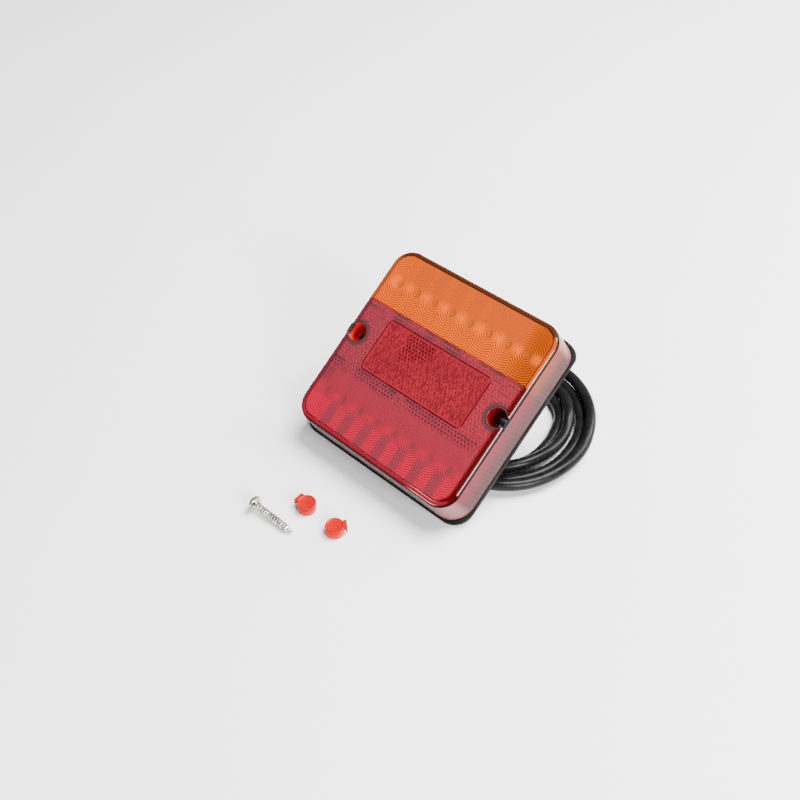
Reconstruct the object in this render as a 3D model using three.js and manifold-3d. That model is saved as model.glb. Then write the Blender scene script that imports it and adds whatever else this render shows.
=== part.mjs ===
// Square surface-mount trailer tail light: amber turn strip, red stop and tail field, reflex
// reflector, screw holes with pull-tab caps, and a coiled cable. The lamp leans back on its cable,
// with its lower edge on the ground. Millimetres, +Z up, +X across the lamp, +Y behind it.
import * as THREE from 'three';
import { mergeVertices } from 'three/addons/utils/BufferGeometryUtils.js';
import Module from 'manifold-3d';

const wasm = await Module();
wasm.setup();

// ---- driving dimensions ------------------------------------------------------------------------
// In the lamp's own frame the face is z = 0, +z points out of the face, and +y towards the amber.
const FACE_SIDE = 100.2;
const FACE_CORNER = 10.4;
const BASE_CORNER = 7;             // the housing's rim, carried up to the face without its draft
const WALL_DRAFT = 0.15;           // outward growth of the walls per millimetre of depth
const AMBER_DRAFT = -0.03;         // the same for the amber end, which stands almost upright
const FLANGE = 0.72;               // the housing's rim stands out this far past the wall
const LAMP_DEPTH = 20;
const LAMP_TILT = THREE.MathUtils.degToRad(34.1);
const GAP = 0.3;                   // between touching pieces

const WALL_THICKNESS = 2.3;
const WALL_BOTTOM = -17.8;
const LEDGE = { bite: 0.1, width: 1.4, bottom: -4.2, top: -3 };   // inside the wall, under the lens
const LENS_TOP = -0.2;
const LENS_BOTTOM = -2.6;
const COLOUR_SPLIT_Y = 18.7;       // border between red and amber
const REFLECTOR_HALF = { x: 31.9, y: 14.2 };
const REFLECTOR_CORNER = 3;
const REFLECTOR_TOP = -0.15;
const REFLECTOR_THICKNESS = 1.25;

const HOLE_X = 44.4;               // screw holes lie at x = -HOLE_X and +HOLE_X, y = 0
const SLEEVE_BORE = 4.8;
const SLEEVE_RADIUS = 5.4;
const SLEEVE_FLOOR = -8.5;
const SLEEVE_FLOOR_THICKNESS = 1.2;
const SCREW_HOLE = 2.6;
const SLEEVE_TAIL_RADIUS = 3.6;
const BOSS_RADIUS = 6.7;
const NOTCH_WIDTH = 5.4;           // slot from each hole out through the wall, for the cap's tab
const NOTCH_DEPTH = 3.2;
const NOTCH_REACH = { from: 1.5, to: 17.5 };   // from the hole's middle outwards

const PLATE_TOP = -17.5;           // inner face of the housing's back plate
const RIM_TOP = WALL_BOTTOM - GAP;
const UPSTAND_TOP = -11;
const UPSTAND_THICKNESS = 1.8;
const BOARD_TOP = -12.2;
const BOARD_THICKNESS = 1.6;
const BOARD_INSET = 4.7;
const BAFFLE = { top: -9.9, thickness: 0.8, skirtTop: -4.5, divider: 1, windowMargin: 0.55 };
const POTTING_TOP = -14.1;
const POST = { xy: 42, radius: 2.4, bore: 1.3 };
const GASKET = { inset: 3.3, width: 5, thickness: 1.5 };
const SEAL = { inset: 0.8, width: 1, bottom: -18.8, top: WALL_BOTTOM - 0.2 };

const LED_COUNT = 8;
const LED_PITCH = 11.3;
const LED_AMBER_Y = 31.9;
const LED_RED_Y = -32.2;
const LED_SIDE = 3.5;
const LED_HEIGHT = 0.9;
const RESISTOR = { length: 6.3, width: 3.2, height: 0.6, y: -8, x: [-24, -15, 15, 24] };
const DIODE = { length: 3.8, width: 2.6, height: 1.2, y: 8, x: [-18, 18] };

const CABLE_RADIUS = 3;
const CABLE_EXIT_Y = 7;            // height of the cable exit on the lamp's back, at x = 0
const CABLE_BORE = CABLE_RADIUS + GAP;
const GROMMET = { waist: 4.5, inner: 6, outer: 7.5, lip: 1.3, flange: 2 };
const RELIEF = { length: 20, thick: 5.6, thin: 4 };
const LEAD = { bend: 26.75, heading: THREE.MathUtils.degToRad(20) };   // heading from +y to +x
const COIL = { x: 18.7, y: 35.1, inner: 28.6, outer: 53, step: 46.4, low: 6.2, high: 12.2 };
const TAIL = { x: -31.3, from: 62, to: 84 };
const CORE_RADIUS = 0.75;
const CORE_STRIP = 6;              // bare copper at each core's end

const SCREW = { x: -28.3, y: -87.9, turn: 2.9, length: 24, headRadius: 3.9, headHeight: 2.8 };
const DRIVE = { length: 4.16, width: 1.44, depth: 1.3 };   // cross recess in the screw's head
const THREAD = { crest: 2, root: 1.45, pitch: 1.5, point: 3.2 };
const CAP = { radius: 4.65, wall: 0.75, height: 5, top: 1.2, tabWidth: 5.2, reach: 5.9, lip: 3 };
const CAPS = [
  { name: 'screw_cap_left', x: -10.6, y: -71.3, turn: 182 },
  { name: 'screw_cap_right', x: 9.1, y: -72.1, turn: 51 },
];

const ROUND = 24;                  // sides of an ordinary round piece
const ARC = 3;                     // half the steps in a rounded corner

// ---- placing the lamp and the loose pieces -----------------------------------------------------
const backReach = (draft) => FACE_SIDE / 2 + FLANGE + draft * LAMP_DEPTH;
const [COS, SIN] = [Math.cos(LAMP_TILT), Math.sin(LAMP_TILT)];
const FACE_HEIGHT = LAMP_DEPTH * COS + backReach(WALL_DRAFT) * SIN;
const LAMP_BACK_Y = backReach(AMBER_DRAFT) * COS + LAMP_DEPTH * SIN;
// The origin is on the ground, under the middle of the lamp and its loose pieces.
const SHIFT_Y = -(LAMP_BACK_Y + SCREW.y - SCREW.headRadius) / 2;

const ground = new THREE.Group();
ground.position.set(0, SHIFT_Y, 0);
const lamp = new THREE.Group();
lamp.position.set(0, 0, FACE_HEIGHT);
lamp.rotation.x = LAMP_TILT;
ground.add(lamp);

// ---- solids ------------------------------------------------------------------------------------
function toSolid(geometry) {
  const plain = new THREE.BufferGeometry();
  plain.setAttribute('position', geometry.getAttribute('position').clone());
  if (geometry.index) plain.setIndex(geometry.index.clone());
  const merged = mergeVertices(plain, 1e-4);
  const points = merged.getAttribute('position').array;
  const index = merged.index.array;
  const triangles = [];
  let volume = 0;
  const corner = [new THREE.Vector3(), new THREE.Vector3(), new THREE.Vector3()];
  for (let i = 0; i < index.length; i += 3) {
    const [a, b, c] = [index[i], index[i + 1], index[i + 2]];
    if (a === b || b === c || c === a) continue;
    [a, b, c].forEach((v, k) => corner[k].fromArray(points, v * 3));
    volume += corner[0].dot(corner[1].clone().cross(corner[2]));
    triangles.push([a, b, c]);
  }
  if (volume < 0) triangles.forEach((t) => t.reverse());
  return new wasm.Manifold(new wasm.Mesh({
    numProp: 3,
    vertProperties: Float32Array.from(points),
    triVerts: Uint32Array.from(triangles.flat()),
  }));
}

function toGeometry(solid) {
  const mesh = solid.getMesh();
  const geometry = new THREE.BufferGeometry();
  geometry.setAttribute('position', new THREE.BufferAttribute(mesh.vertProperties, 3));
  geometry.setIndex(new THREE.BufferAttribute(mesh.triVerts, 1));
  geometry.computeVertexNormals();
  return geometry;
}

function addPiece(parent, name, shape, material) {
  const geometry = shape.isBufferGeometry ? toGeometry(toSolid(shape)) : toGeometry(shape);
  const mesh = new THREE.Mesh(geometry, material.clone());
  mesh.name = name;
  parent.add(mesh);
  return mesh;
}

function join(...solids) {
  return solids.reduce((whole, solid) => whole.add(solid));
}

function cut(solid, ...tools) {
  return tools.reduce((whole, tool) => whole.subtract(tool), solid);
}

function roundedOutline(halfX, halfY, radius) {
  const shape = new THREE.Shape();
  const corners = [[1, 1, 0], [-1, 1, 1], [-1, -1, 2], [1, -1, 3]];
  for (const [sx, sy, quarter] of corners) {
    const start = quarter * Math.PI / 2;
    shape.absarc(sx * (halfX - radius), sy * (halfY - radius), radius, start, start + Math.PI / 2);
  }
  shape.closePath();
  return shape;
}

function prism(shape, bottom, top) {
  const options = { depth: top - bottom, bevelEnabled: false, curveSegments: ARC };
  return new THREE.ExtrudeGeometry(shape, options).translate(0, 0, bottom);
}

// A slice of the lamp's drafted body between two depths, its outline drawn in by an inset.
function slice(inset, bottom, top, corner = FACE_CORNER) {
  const half = FACE_SIDE / 2 - inset;
  const geometry = prism(roundedOutline(half, half, corner - inset), bottom, top);
  const core = FACE_SIDE / 2 - corner;
  const position = geometry.getAttribute('position');
  for (let i = 0; i < position.count; i += 1) {
    const x = position.getX(i);
    const y = position.getY(i);
    const outX = x - THREE.MathUtils.clamp(x, -core, core);
    const outY = y - THREE.MathUtils.clamp(y, -core, core);
    const growth = -position.getZ(i) / Math.hypot(outX, outY);
    const draftY = outY > 0 ? AMBER_DRAFT : WALL_DRAFT;
    position.setXY(i, x + outX * growth * WALL_DRAFT, y + outY * growth * draftY);
  }
  return toSolid(geometry);
}

function frame(inset, width, bottom, top) {
  return slice(inset, bottom, top).subtract(slice(inset + width, bottom - 1, top + 1));
}

function rod(x, y, radius, bottom, top, sides = ROUND) {
  const geometry = new THREE.CylinderGeometry(radius, radius, top - bottom, sides);
  return toSolid(geometry.rotateX(Math.PI / 2).translate(x, y, (top + bottom) / 2));
}

function box(sizeX, sizeY, bottom, top, x = 0, y = 0) {
  const geometry = new THREE.BoxGeometry(sizeX, sizeY, top - bottom);
  return toSolid(geometry.translate(x, y, (top + bottom) / 2));
}

// A turned piece: [radius, height] pairs, closed on the axis or on itself, height along +z.
function turned(profile, sides = ROUND) {
  const points = profile.map(([radius, height]) => new THREE.Vector2(radius, height));
  return new THREE.LatheGeometry(points, sides).rotateX(Math.PI / 2);
}

function tube(points, radius, sides) {
  const curve = new THREE.CatmullRomCurve3(points);
  const section = new THREE.Shape();
  for (let i = 0; i < sides; i += 1) {
    const angle = i * 2 * Math.PI / sides;
    const [x, y] = [radius * Math.cos(angle), radius * Math.sin(angle)];
    if (i === 0) section.moveTo(x, y);
    else section.lineTo(x, y);
  }
  section.closePath();
  const steps = Math.max(2, Math.round(curve.getLength() / (radius * 4)));
  return new THREE.ExtrudeGeometry(section, { steps, extrudePath: curve, bevelEnabled: false });
}

const atHoles = (make) => [-HOLE_X, HOLE_X].map(make);

function surface(color, roughness, metalness = 0, opacity = 1) {
  const transparent = opacity < 1;
  return new THREE.MeshStandardMaterial({ color, roughness, metalness, opacity, transparent });
}

const CLEAR = surface(0xc9a3a0, 0.12, 0, 0.55);
const AMBER = surface(0xe27a2a, 0.18, 0, 0.85);
const RED = surface(0xc02a36, 0.18, 0, 0.85);
const BLACK_PLASTIC = surface(0x24211f, 0.45);
const RUBBER = surface(0x1d1d1e, 0.7);
const PALE_PLASTIC = surface(0xd9d6cf, 0.5);
const BOARD_GREEN = surface(0x1f5a3a, 0.4);
const CERAMIC = surface(0x17181a, 0.5);
const RESIN = surface(0x2a2b2d, 0.35);
const METAL = surface(0xc9ccd0, 0.25, 1);
const COPPER = surface(0xb87333, 0.35, 1);

// ---- lens and wall -----------------------------------------------------------------------------
const notches = atHoles((x) => {
  const middle = Math.sign(x) * (NOTCH_REACH.from + NOTCH_REACH.to) / 2;
  return box(NOTCH_REACH.to - NOTCH_REACH.from, NOTCH_WIDTH, -NOTCH_DEPTH, 1, x + middle);
});

function makeSideWall() {
  const wall = frame(0, WALL_THICKNESS, WALL_BOTTOM, 0);
  const ledge = frame(WALL_THICKNESS - LEDGE.bite, LEDGE.width, LEDGE.bottom, LEDGE.top);
  const sleeveRoom = atHoles((x) => rod(x, 0, SLEEVE_RADIUS + GAP, WALL_BOTTOM, 1));
  const bossRoom = atHoles((x) => rod(x, 0, BOSS_RADIUS + GAP, LEDGE.bottom - 1, LEDGE.top + 1));
  const body = join(wall, cut(ledge, ...bossRoom));
  return cut(body, ...sleeveRoom, ...notches);
}

function makeLensPlate(lowY, highY) {
  const plate = slice(WALL_THICKNESS + GAP, LENS_BOTTOM, LENS_TOP);
  const band = box(FACE_SIDE, highY - lowY, LENS_BOTTOM - 1, 1, 0, (lowY + highY) / 2);
  return plate.intersect(band);
}

function makeRedLens() {
  const plate = makeLensPlate(-FACE_SIDE, COLOUR_SPLIT_Y - GAP / 2);
  const holes = atHoles((x) => rod(x, 0, SLEEVE_RADIUS + GAP, LENS_BOTTOM - 1, 1));
  const pocketFloor = REFLECTOR_TOP - REFLECTOR_THICKNESS - GAP;
  const pocket = roundedOutline(
    REFLECTOR_HALF.x + GAP, REFLECTOR_HALF.y + GAP, REFLECTOR_CORNER + GAP,
  );
  return cut(plate, ...holes, toSolid(prism(pocket, pocketFloor, 1)));
}

function makeReflector() {
  const outline = roundedOutline(REFLECTOR_HALF.x, REFLECTOR_HALF.y, REFLECTOR_CORNER);
  return prism(outline, REFLECTOR_TOP - REFLECTOR_THICKNESS, REFLECTOR_TOP);
}

addPiece(lamp, 'side_wall', makeSideWall(), CLEAR);
addPiece(lamp, 'lens_amber', makeLensPlate(COLOUR_SPLIT_Y + GAP / 2, FACE_SIDE), AMBER);
addPiece(lamp, 'lens_red', makeRedLens(), RED);
addPiece(lamp, 'reflex_reflector', makeReflector(), RED);

// ---- housing, seal and gasket ------------------------------------------------------------------
function makeBoss(x) {
  const outside = rod(x, 0, BOSS_RADIUS, PLATE_TOP - 1, LENS_BOTTOM - GAP);
  const shoulder = SLEEVE_FLOOR - SLEEVE_FLOOR_THICKNESS - GAP;
  return cut(
    outside.intersect(slice(WALL_THICKNESS + GAP, PLATE_TOP - 1, 0)),
    rod(x, 0, SLEEVE_RADIUS + GAP, shoulder, 1),
  );
}

const posts = [[1, 1], [-1, 1], [-1, -1], [1, -1]].map(([sx, sy]) => [sx * POST.xy, sy * POST.xy]);

function makeHousing() {
  const rim = slice(-FLANGE, -LAMP_DEPTH, RIM_TOP, BASE_CORNER);
  const upstandInset = WALL_THICKNESS + GAP;
  const upstand = slice(upstandInset, -LAMP_DEPTH, UPSTAND_TOP);
  const cavity = slice(upstandInset + UPSTAND_THICKNESS, PLATE_TOP, 0);
  const groove = frame(SEAL.inset - GAP, SEAL.width + 2 * GAP, SEAL.bottom - GAP, 0);
  const boardPosts = posts.map(([x, y]) => cut(
    rod(x, y, POST.radius, PLATE_TOP - 1, BOARD_TOP - BOARD_THICKNESS - GAP, 16),
    rod(x, y, POST.bore, PLATE_TOP + 1, 0, 12),
  ));
  const shell = cut(join(rim, upstand), cavity, groove);
  const body = join(shell, ...atHoles(makeBoss), ...boardPosts);
  const screwHoles = atHoles((x) => rod(x, 0, SLEEVE_TAIL_RADIUS + GAP, -LAMP_DEPTH - 1, 0));
  const cableHole = rod(0, CABLE_EXIT_Y, GROMMET.waist + GAP, -LAMP_DEPTH - 1, PLATE_TOP + 1);
  return cut(body, ...screwHoles, cableHole);
}

function makeGasket() {
  const back = -LAMP_DEPTH - GAP;
  const ring = frame(GASKET.inset, GASKET.width, back - GASKET.thickness, back);
  return cut(ring, ...atHoles((x) => rod(x, 0, SLEEVE_TAIL_RADIUS + 2 * GAP, back - 3, 0)));
}

addPiece(lamp, 'rear_housing', makeHousing(), BLACK_PLASTIC);
addPiece(lamp, 'lens_seal', frame(SEAL.inset, SEAL.width, SEAL.bottom, SEAL.top), RUBBER);
addPiece(lamp, 'mounting_gasket', makeGasket(), RUBBER);

// ---- screw sleeves -----------------------------------------------------------------------------
function makeSleeve(x) {
  const underFloor = SLEEVE_FLOOR - SLEEVE_FLOOR_THICKNESS;
  const body = toSolid(turned([
    [SCREW_HOLE, -LAMP_DEPTH + GAP],
    [SLEEVE_TAIL_RADIUS, -LAMP_DEPTH + GAP],
    [SLEEVE_TAIL_RADIUS, underFloor],
    [SLEEVE_RADIUS, underFloor],
    [SLEEVE_RADIUS, LENS_TOP],
    [SLEEVE_BORE, LENS_TOP],
    [SLEEVE_BORE, SLEEVE_FLOOR],
    [SCREW_HOLE, SLEEVE_FLOOR],
    [SCREW_HOLE, -LAMP_DEPTH + GAP],
  ]).translate(x, 0, 0));
  return cut(body, ...notches);
}

addPiece(lamp, 'screw_sleeve_left', makeSleeve(-HOLE_X), RED);
addPiece(lamp, 'screw_sleeve_right', makeSleeve(HOLE_X), RED);

// ---- light baffle ------------------------------------------------------------------------------
const ledX = Array.from({ length: LED_COUNT }, (_, i) => (i - (LED_COUNT - 1) / 2) * LED_PITCH);
const bossRoomDeep = atHoles((x) => rod(x, 0, BOSS_RADIUS + GAP, -LAMP_DEPTH, 0));

function makeBaffle() {
  const inset = WALL_THICKNESS + 2 * GAP;
  const bottom = BAFFLE.top - BAFFLE.thickness;
  const skirt = frame(inset, BAFFLE.thickness, bottom, BAFFLE.skirtTop);
  const plate = slice(inset, bottom, BAFFLE.top);
  const inside = slice(inset + LEDGE.width + GAP, bottom - 1, 0);
  const divider = box(FACE_SIDE, BAFFLE.divider, bottom, LENS_BOTTOM - GAP, 0, COLOUR_SPLIT_Y);
  const side = LED_SIDE + 2 * BAFFLE.windowMargin;
  const windows = [LED_AMBER_Y, LED_RED_Y].flatMap(
    (y) => ledX.map((x) => box(side, side, bottom - 1, BAFFLE.top + 1, x, y)),
  );
  return cut(join(skirt, plate, divider.intersect(inside)), ...windows, ...bossRoomDeep);
}

addPiece(lamp, 'light_baffle', makeBaffle(), PALE_PLASTIC);

// ---- circuit board and what it carries ---------------------------------------------------------
const boardBottom = BOARD_TOP - BOARD_THICKNESS;
const onBoard = BOARD_TOP + 0.05;
const coreSpots = [[1, 1], [-1, 1], [-1, -1], [1, -1]].map(
  ([sx, sy]) => [sx * 1.5, CABLE_EXIT_Y + sy * 1.5],
);

function makeBoard() {
  const board = slice(BOARD_INSET, boardBottom, BOARD_TOP);
  const screwHoles = posts.map(([x, y]) => rod(x, y, POST.bore, -LAMP_DEPTH, 0, 12));
  const coreHoles = coreSpots.map(([x, y]) => rod(x, y, CORE_RADIUS + 0.2, -LAMP_DEPTH, 0, 10));
  return cut(board, ...bossRoomDeep, ...screwHoles, ...coreHoles);
}

function makeLed(x, y) {
  const base = box(LED_SIDE, LED_SIDE, onBoard, onBoard + LED_HEIGHT, x, y);
  const dome = [[0, 0.2], [1.4, 0.2], [1.4, 1], [1.1, 1.5], [0.6, 1.8], [0, 1.9]];
  return base.add(toSolid(turned(dome, 12).translate(x, y, onBoard)));
}

addPiece(lamp, 'circuit_board', makeBoard(), BOARD_GREEN);
ledX.forEach((x, i) => {
  addPiece(lamp, `led_amber_${i + 1}`, makeLed(x, LED_AMBER_Y), PALE_PLASTIC);
  addPiece(lamp, `led_red_${i + 1}`, makeLed(x, LED_RED_Y), PALE_PLASTIC);
});
const chips = { resistor: RESISTOR, diode: DIODE };
for (const [name, { length, width, height, x, y }] of Object.entries(chips)) {
  x.forEach((middle, i) => {
    const chip = box(length, width, onBoard, onBoard + height, middle, y);
    addPiece(lamp, `${name}_${i + 1}`, chip, CERAMIC);
  });
}

function makeBoardScrew([x, y]) {
  const profile = [[0, -4], [1, -3.2], [1, 0], [2, 0], [2, 0.7], [1.3, 1.1], [0, 1.1]];
  return turned(profile, 12).translate(x, y, onBoard);
}

function makePotting() {
  const slab = slice(BOARD_INSET, PLATE_TOP + GAP, POTTING_TOP);
  const postRoom = posts.map(([x, y]) => rod(x, y, POST.radius + GAP, -LAMP_DEPTH, 0, 16));
  const cableRoom = rod(0, CABLE_EXIT_Y, GROMMET.inner + GAP, -LAMP_DEPTH, 0);
  return cut(slab, ...bossRoomDeep, ...postRoom, cableRoom);
}

addPiece(lamp, 'board_screw_left', makeBoardScrew(posts[1]), METAL);
addPiece(lamp, 'board_screw_right', makeBoardScrew(posts[3]), METAL);
addPiece(lamp, 'potting_resin', makePotting(), RESIN);

// ---- cable ---------------------------------------------------------------------------------------
const CORES = [
  { name: 'earth', color: surface(0xe8e4dc, 0.5) },
  { name: 'tail', color: surface(0x3a2a1e, 0.5) },
  { name: 'stop', color: surface(0xb5202a, 0.5) },
  { name: 'turn', color: surface(0xd8b22a, 0.5) },
];
const jacketStart = PLATE_TOP - 1.2;

CORES.forEach(({ name, color }, i) => {
  const [x, y] = coreSpots[i];
  const core = rod(x, y, CORE_RADIUS, jacketStart + GAP, onBoard + 0.5, 10);
  addPiece(lamp, `inner_core_${name}`, core, color);
});

const grommetFace = -LAMP_DEPTH - GAP;
const reliefStart = grommetFace - GROMMET.flange - GAP;
const reliefEnd = reliefStart - RELIEF.length;

function makeGrommet() {
  const inside = PLATE_TOP + GAP;
  return turned([
    [CABLE_BORE, grommetFace - GROMMET.flange],
    [GROMMET.outer - 1, grommetFace - GROMMET.flange],
    [GROMMET.outer, grommetFace - 1],
    [GROMMET.outer, grommetFace],
    [GROMMET.waist, grommetFace],
    [GROMMET.waist, inside],
    [GROMMET.inner, inside],
    [GROMMET.inner - 0.5, inside + GROMMET.lip],
    [CABLE_BORE, inside + GROMMET.lip],
    [CABLE_BORE, grommetFace - GROMMET.flange],
  ]).translate(0, CABLE_EXIT_Y, 0);
}

function makeStrainRelief() {
  return turned([
    [CABLE_BORE, reliefEnd],
    [RELIEF.thin, reliefEnd],
    [RELIEF.thick, reliefStart],
    [CABLE_BORE, reliefStart],
    [CABLE_BORE, reliefEnd],
  ]).translate(0, CABLE_EXIT_Y, 0);
}

addPiece(lamp, 'cable_grommet', makeGrommet(), RUBBER);
addPiece(lamp, 'strain_relief', makeStrainRelief(), RUBBER);

// A point on the cable's straight stretch, in the ground's frame.
function onExit(z) {
  const y = CABLE_EXIT_Y;
  const [c, s] = [Math.cos(LAMP_TILT), Math.sin(LAMP_TILT)];
  return new THREE.Vector3(0, y * c - z * s, FACE_HEIGHT + y * s + z * c);
}

// The cable leaves the relief, bends down and lands inside the coil.
function makeLeadRoute() {
  const down = onExit(reliefEnd).sub(onExit(reliefStart)).normalize();
  const along = new THREE.Vector3(Math.sin(LEAD.heading), Math.cos(LEAD.heading), 0);
  const turn = down.angleTo(along);
  const aside = along.clone().addScaledVector(down, -Math.cos(turn)).normalize();
  const points = [onExit(jacketStart), onExit(reliefStart), onExit((reliefStart + reliefEnd) / 2)];
  for (let i = 0; i <= 8; i += 1) {
    const angle = turn * i / 8;
    const point = onExit(reliefEnd).addScaledVector(down, LEAD.bend * Math.sin(angle));
    points.push(point.addScaledVector(aside, LEAD.bend * (1 - Math.cos(angle))));
  }
  return points;
}

function makeCoil() {
  return turned([
    [COIL.inner, 0],
    [COIL.outer, 0],
    [COIL.outer, COIL.low],
    [COIL.step, COIL.high],
    [COIL.inner, COIL.high],
    [COIL.inner, 0],
  ], 48).translate(COIL.x, COIL.y, 0);
}

function makeTailRoute() {
  const middle = (TAIL.from + TAIL.to) / 2;
  return [TAIL.from, middle, TAIL.to].map((y) => new THREE.Vector3(TAIL.x, y, CABLE_RADIUS));
}

addPiece(ground, 'cable_lead', tube(makeLeadRoute(), CABLE_RADIUS, 10), RUBBER);
addPiece(ground, 'cable_coil', makeCoil(), RUBBER);
addPiece(ground, 'cable_tail', tube(makeTailRoute(), CABLE_RADIUS, 10), RUBBER);

// The four cores fan out of the jacket's end and sink to the ground, their ends stripped.
CORES.forEach(({ name, color }, i) => {
  const side = i - 1.5;
  const first = TAIL.to + GAP;
  const route = [
    [TAIL.x + side * 1.2, first, 3 + (i % 2 ? 1 : -1)],
    [TAIL.x + side * 1.5, first + 3, 2.6 + (i % 2 ? 0.8 : -0.9)],
    [TAIL.x + side * 2.8, first + 8, CORE_RADIUS + 0.1],
    [TAIL.x + side * 4.2, first + 14, CORE_RADIUS + 0.1],
  ].map(([x, y, z]) => new THREE.Vector3(x, y, z));
  addPiece(ground, `core_${name}`, tube(route, CORE_RADIUS, 8), color);
  const heading = route[3].clone().sub(route[2]).normalize();
  const from = route[3].clone().addScaledVector(heading, GAP);
  const to = route[3].clone().addScaledVector(heading, CORE_STRIP);
  const middle = from.clone().lerp(to, 0.5);
  addPiece(ground, `core_end_${name}`, tube([from, middle, to], CORE_RADIUS - 0.25, 8), COPPER);
});

// ---- loose screw and caps --------------------------------------------------------------------------
function makeScrew() {
  const { headRadius, headHeight, length } = SCREW;
  const profile = [
    [0, headHeight],
    [headRadius * 0.6, headHeight - 0.1],
    [headRadius * 0.9, headHeight * 0.65],
    [headRadius, headHeight * 0.3],
    [headRadius, 0],
    [THREAD.root, 0],
  ];
  const turns = Math.floor((length - THREAD.point) / THREAD.pitch);
  for (let i = 0; i < turns; i += 1) {
    const top = -0.4 - i * THREAD.pitch;
    profile.push([THREAD.root, top], [THREAD.crest, top - THREAD.pitch / 2]);
  }
  profile.push([THREAD.root, THREAD.point - length], [0, -length]);
  const slotFloor = headHeight - DRIVE.depth;
  const slots = [
    box(DRIVE.length, DRIVE.width, slotFloor, headHeight + 1),
    box(DRIVE.width, DRIVE.length, slotFloor, headHeight + 1),
  ];
  return cut(toSolid(turned(profile, 16)), ...slots);
}

const screw = addPiece(ground, 'mounting_screw', makeScrew(), METAL);
const lean = Math.asin((SCREW.headRadius - THREAD.crest) / (SCREW.length - THREAD.point));
screw.rotation.set(0, -Math.PI / 2 + lean, THREE.MathUtils.degToRad(SCREW.turn), 'ZYX');
screw.position.set(SCREW.x, SCREW.y, SCREW.headRadius * Math.cos(lean) + 0.05);

function makeCap() {
  const { radius, wall, height, top, tabWidth, reach, lip } = CAP;
  const inner = radius - wall;
  const cup = toSolid(turned([
    [inner, 0],
    [radius - 0.15, 0],
    [radius, 0.6],
    [radius, height - 0.3],
    [radius - 0.3, height],
    [0, height],
    [0, height - top],
    [inner, height - top],
    [inner, 0],
  ]));
  const tab = box(reach - 2, tabWidth, height - top, height, 2 + (reach - 2) / 2);
  const drop = box(0.9, tabWidth, height - lip, height, reach - 0.45);
  return join(cup, tab, drop);
}

for (const { name, x, y, turn } of CAPS) {
  const cap = addPiece(ground, name, makeCap(), RED);
  cap.rotation.z = THREE.MathUtils.degToRad(turn);
  cap.position.set(x, y, 0);
}

export default ground;
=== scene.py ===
"""Looks for the square trailer tail light: glossy amber and red lens with moulded rings, clear
smoked side wall, black housing, coiled black cable with four bare cores, a loose screw and two caps.
"""

import math

import bpy
import numpy as np
from mathutils import Matrix, Vector
from mathutils.geometry import tessellate_polygon


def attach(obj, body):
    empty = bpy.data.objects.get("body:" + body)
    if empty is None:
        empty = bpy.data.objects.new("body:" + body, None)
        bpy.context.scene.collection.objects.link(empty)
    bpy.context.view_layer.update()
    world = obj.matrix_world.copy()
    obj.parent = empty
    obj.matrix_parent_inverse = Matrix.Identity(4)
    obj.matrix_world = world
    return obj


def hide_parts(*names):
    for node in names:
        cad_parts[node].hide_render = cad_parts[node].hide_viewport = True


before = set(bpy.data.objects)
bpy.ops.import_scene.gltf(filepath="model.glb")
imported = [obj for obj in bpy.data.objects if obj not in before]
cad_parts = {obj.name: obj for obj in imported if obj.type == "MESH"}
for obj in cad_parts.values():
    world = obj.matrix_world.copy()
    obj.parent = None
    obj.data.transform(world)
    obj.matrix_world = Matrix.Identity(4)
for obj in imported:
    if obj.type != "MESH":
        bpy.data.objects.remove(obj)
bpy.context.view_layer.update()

# ---- the lamp's own frame, as the CAD has it (millimetres) --------------------------------------
MM = 0.001
TILT = math.radians(34.1)
FACE_HALF = 50.1
CORNER = 10.4
BASE_CORNER = 7.0
CORE = FACE_HALF - CORNER
DRAFT = 0.15
AMBER_DRAFT = -0.03
FLANGE = 0.72
DEPTH = 20.0
BACK_HALF = FACE_HALF + FLANGE + DRAFT * DEPTH
FACE_HEIGHT = DEPTH * math.cos(TILT) + BACK_HALF * math.sin(TILT)
LAMP_BACK = (FACE_HALF + FLANGE + AMBER_DRAFT * DEPTH) * math.cos(TILT) + DEPTH * math.sin(TILT)
SCREW_Y = -87.9
SCREW_HEAD = 3.9
SHIFT_Y = -(LAMP_BACK + SCREW_Y - SCREW_HEAD) / 2

SCALE = Matrix.Scale(MM, 4)
GROUND = Matrix.Translation((0, SHIFT_Y * MM, 0)) @ SCALE
LAMP = Matrix.Translation((0, SHIFT_Y * MM, FACE_HEIGHT * MM)) @ Matrix.Rotation(TILT, 4, "X") @ SCALE


def link(thing):
    """Puts a new object into the scene."""
    bpy.context.scene.collection.objects.link(thing)
    return thing


# ---- camera -------------------------------------------------------------------------------------
CAMERA_AZIMUTH = math.radians(42.38)
CAMERA_ELEVATION = math.radians(45.0)
LOOK_AT = Vector((-0.0021, 0.00499, 0.0375))
CAMERA_DISTANCE = 0.4676
CAMERA_LENS = 43.92

back = Vector((
    math.sin(CAMERA_AZIMUTH) * math.cos(CAMERA_ELEVATION),
    -math.cos(CAMERA_AZIMUTH) * math.cos(CAMERA_ELEVATION),
    math.sin(CAMERA_ELEVATION),
))
camera = link(bpy.data.objects.new("camera", bpy.data.cameras.new("camera")))
camera.data.lens = CAMERA_LENS
camera.data.sensor_width = 36.0
camera.data.clip_start = 0.01
camera.data.clip_end = 20.0
camera.location = LOOK_AT + back * CAMERA_DISTANCE
camera.rotation_euler = (-back).to_track_quat("-Z", "Y").to_euler()
bpy.context.scene.camera = camera

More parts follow.
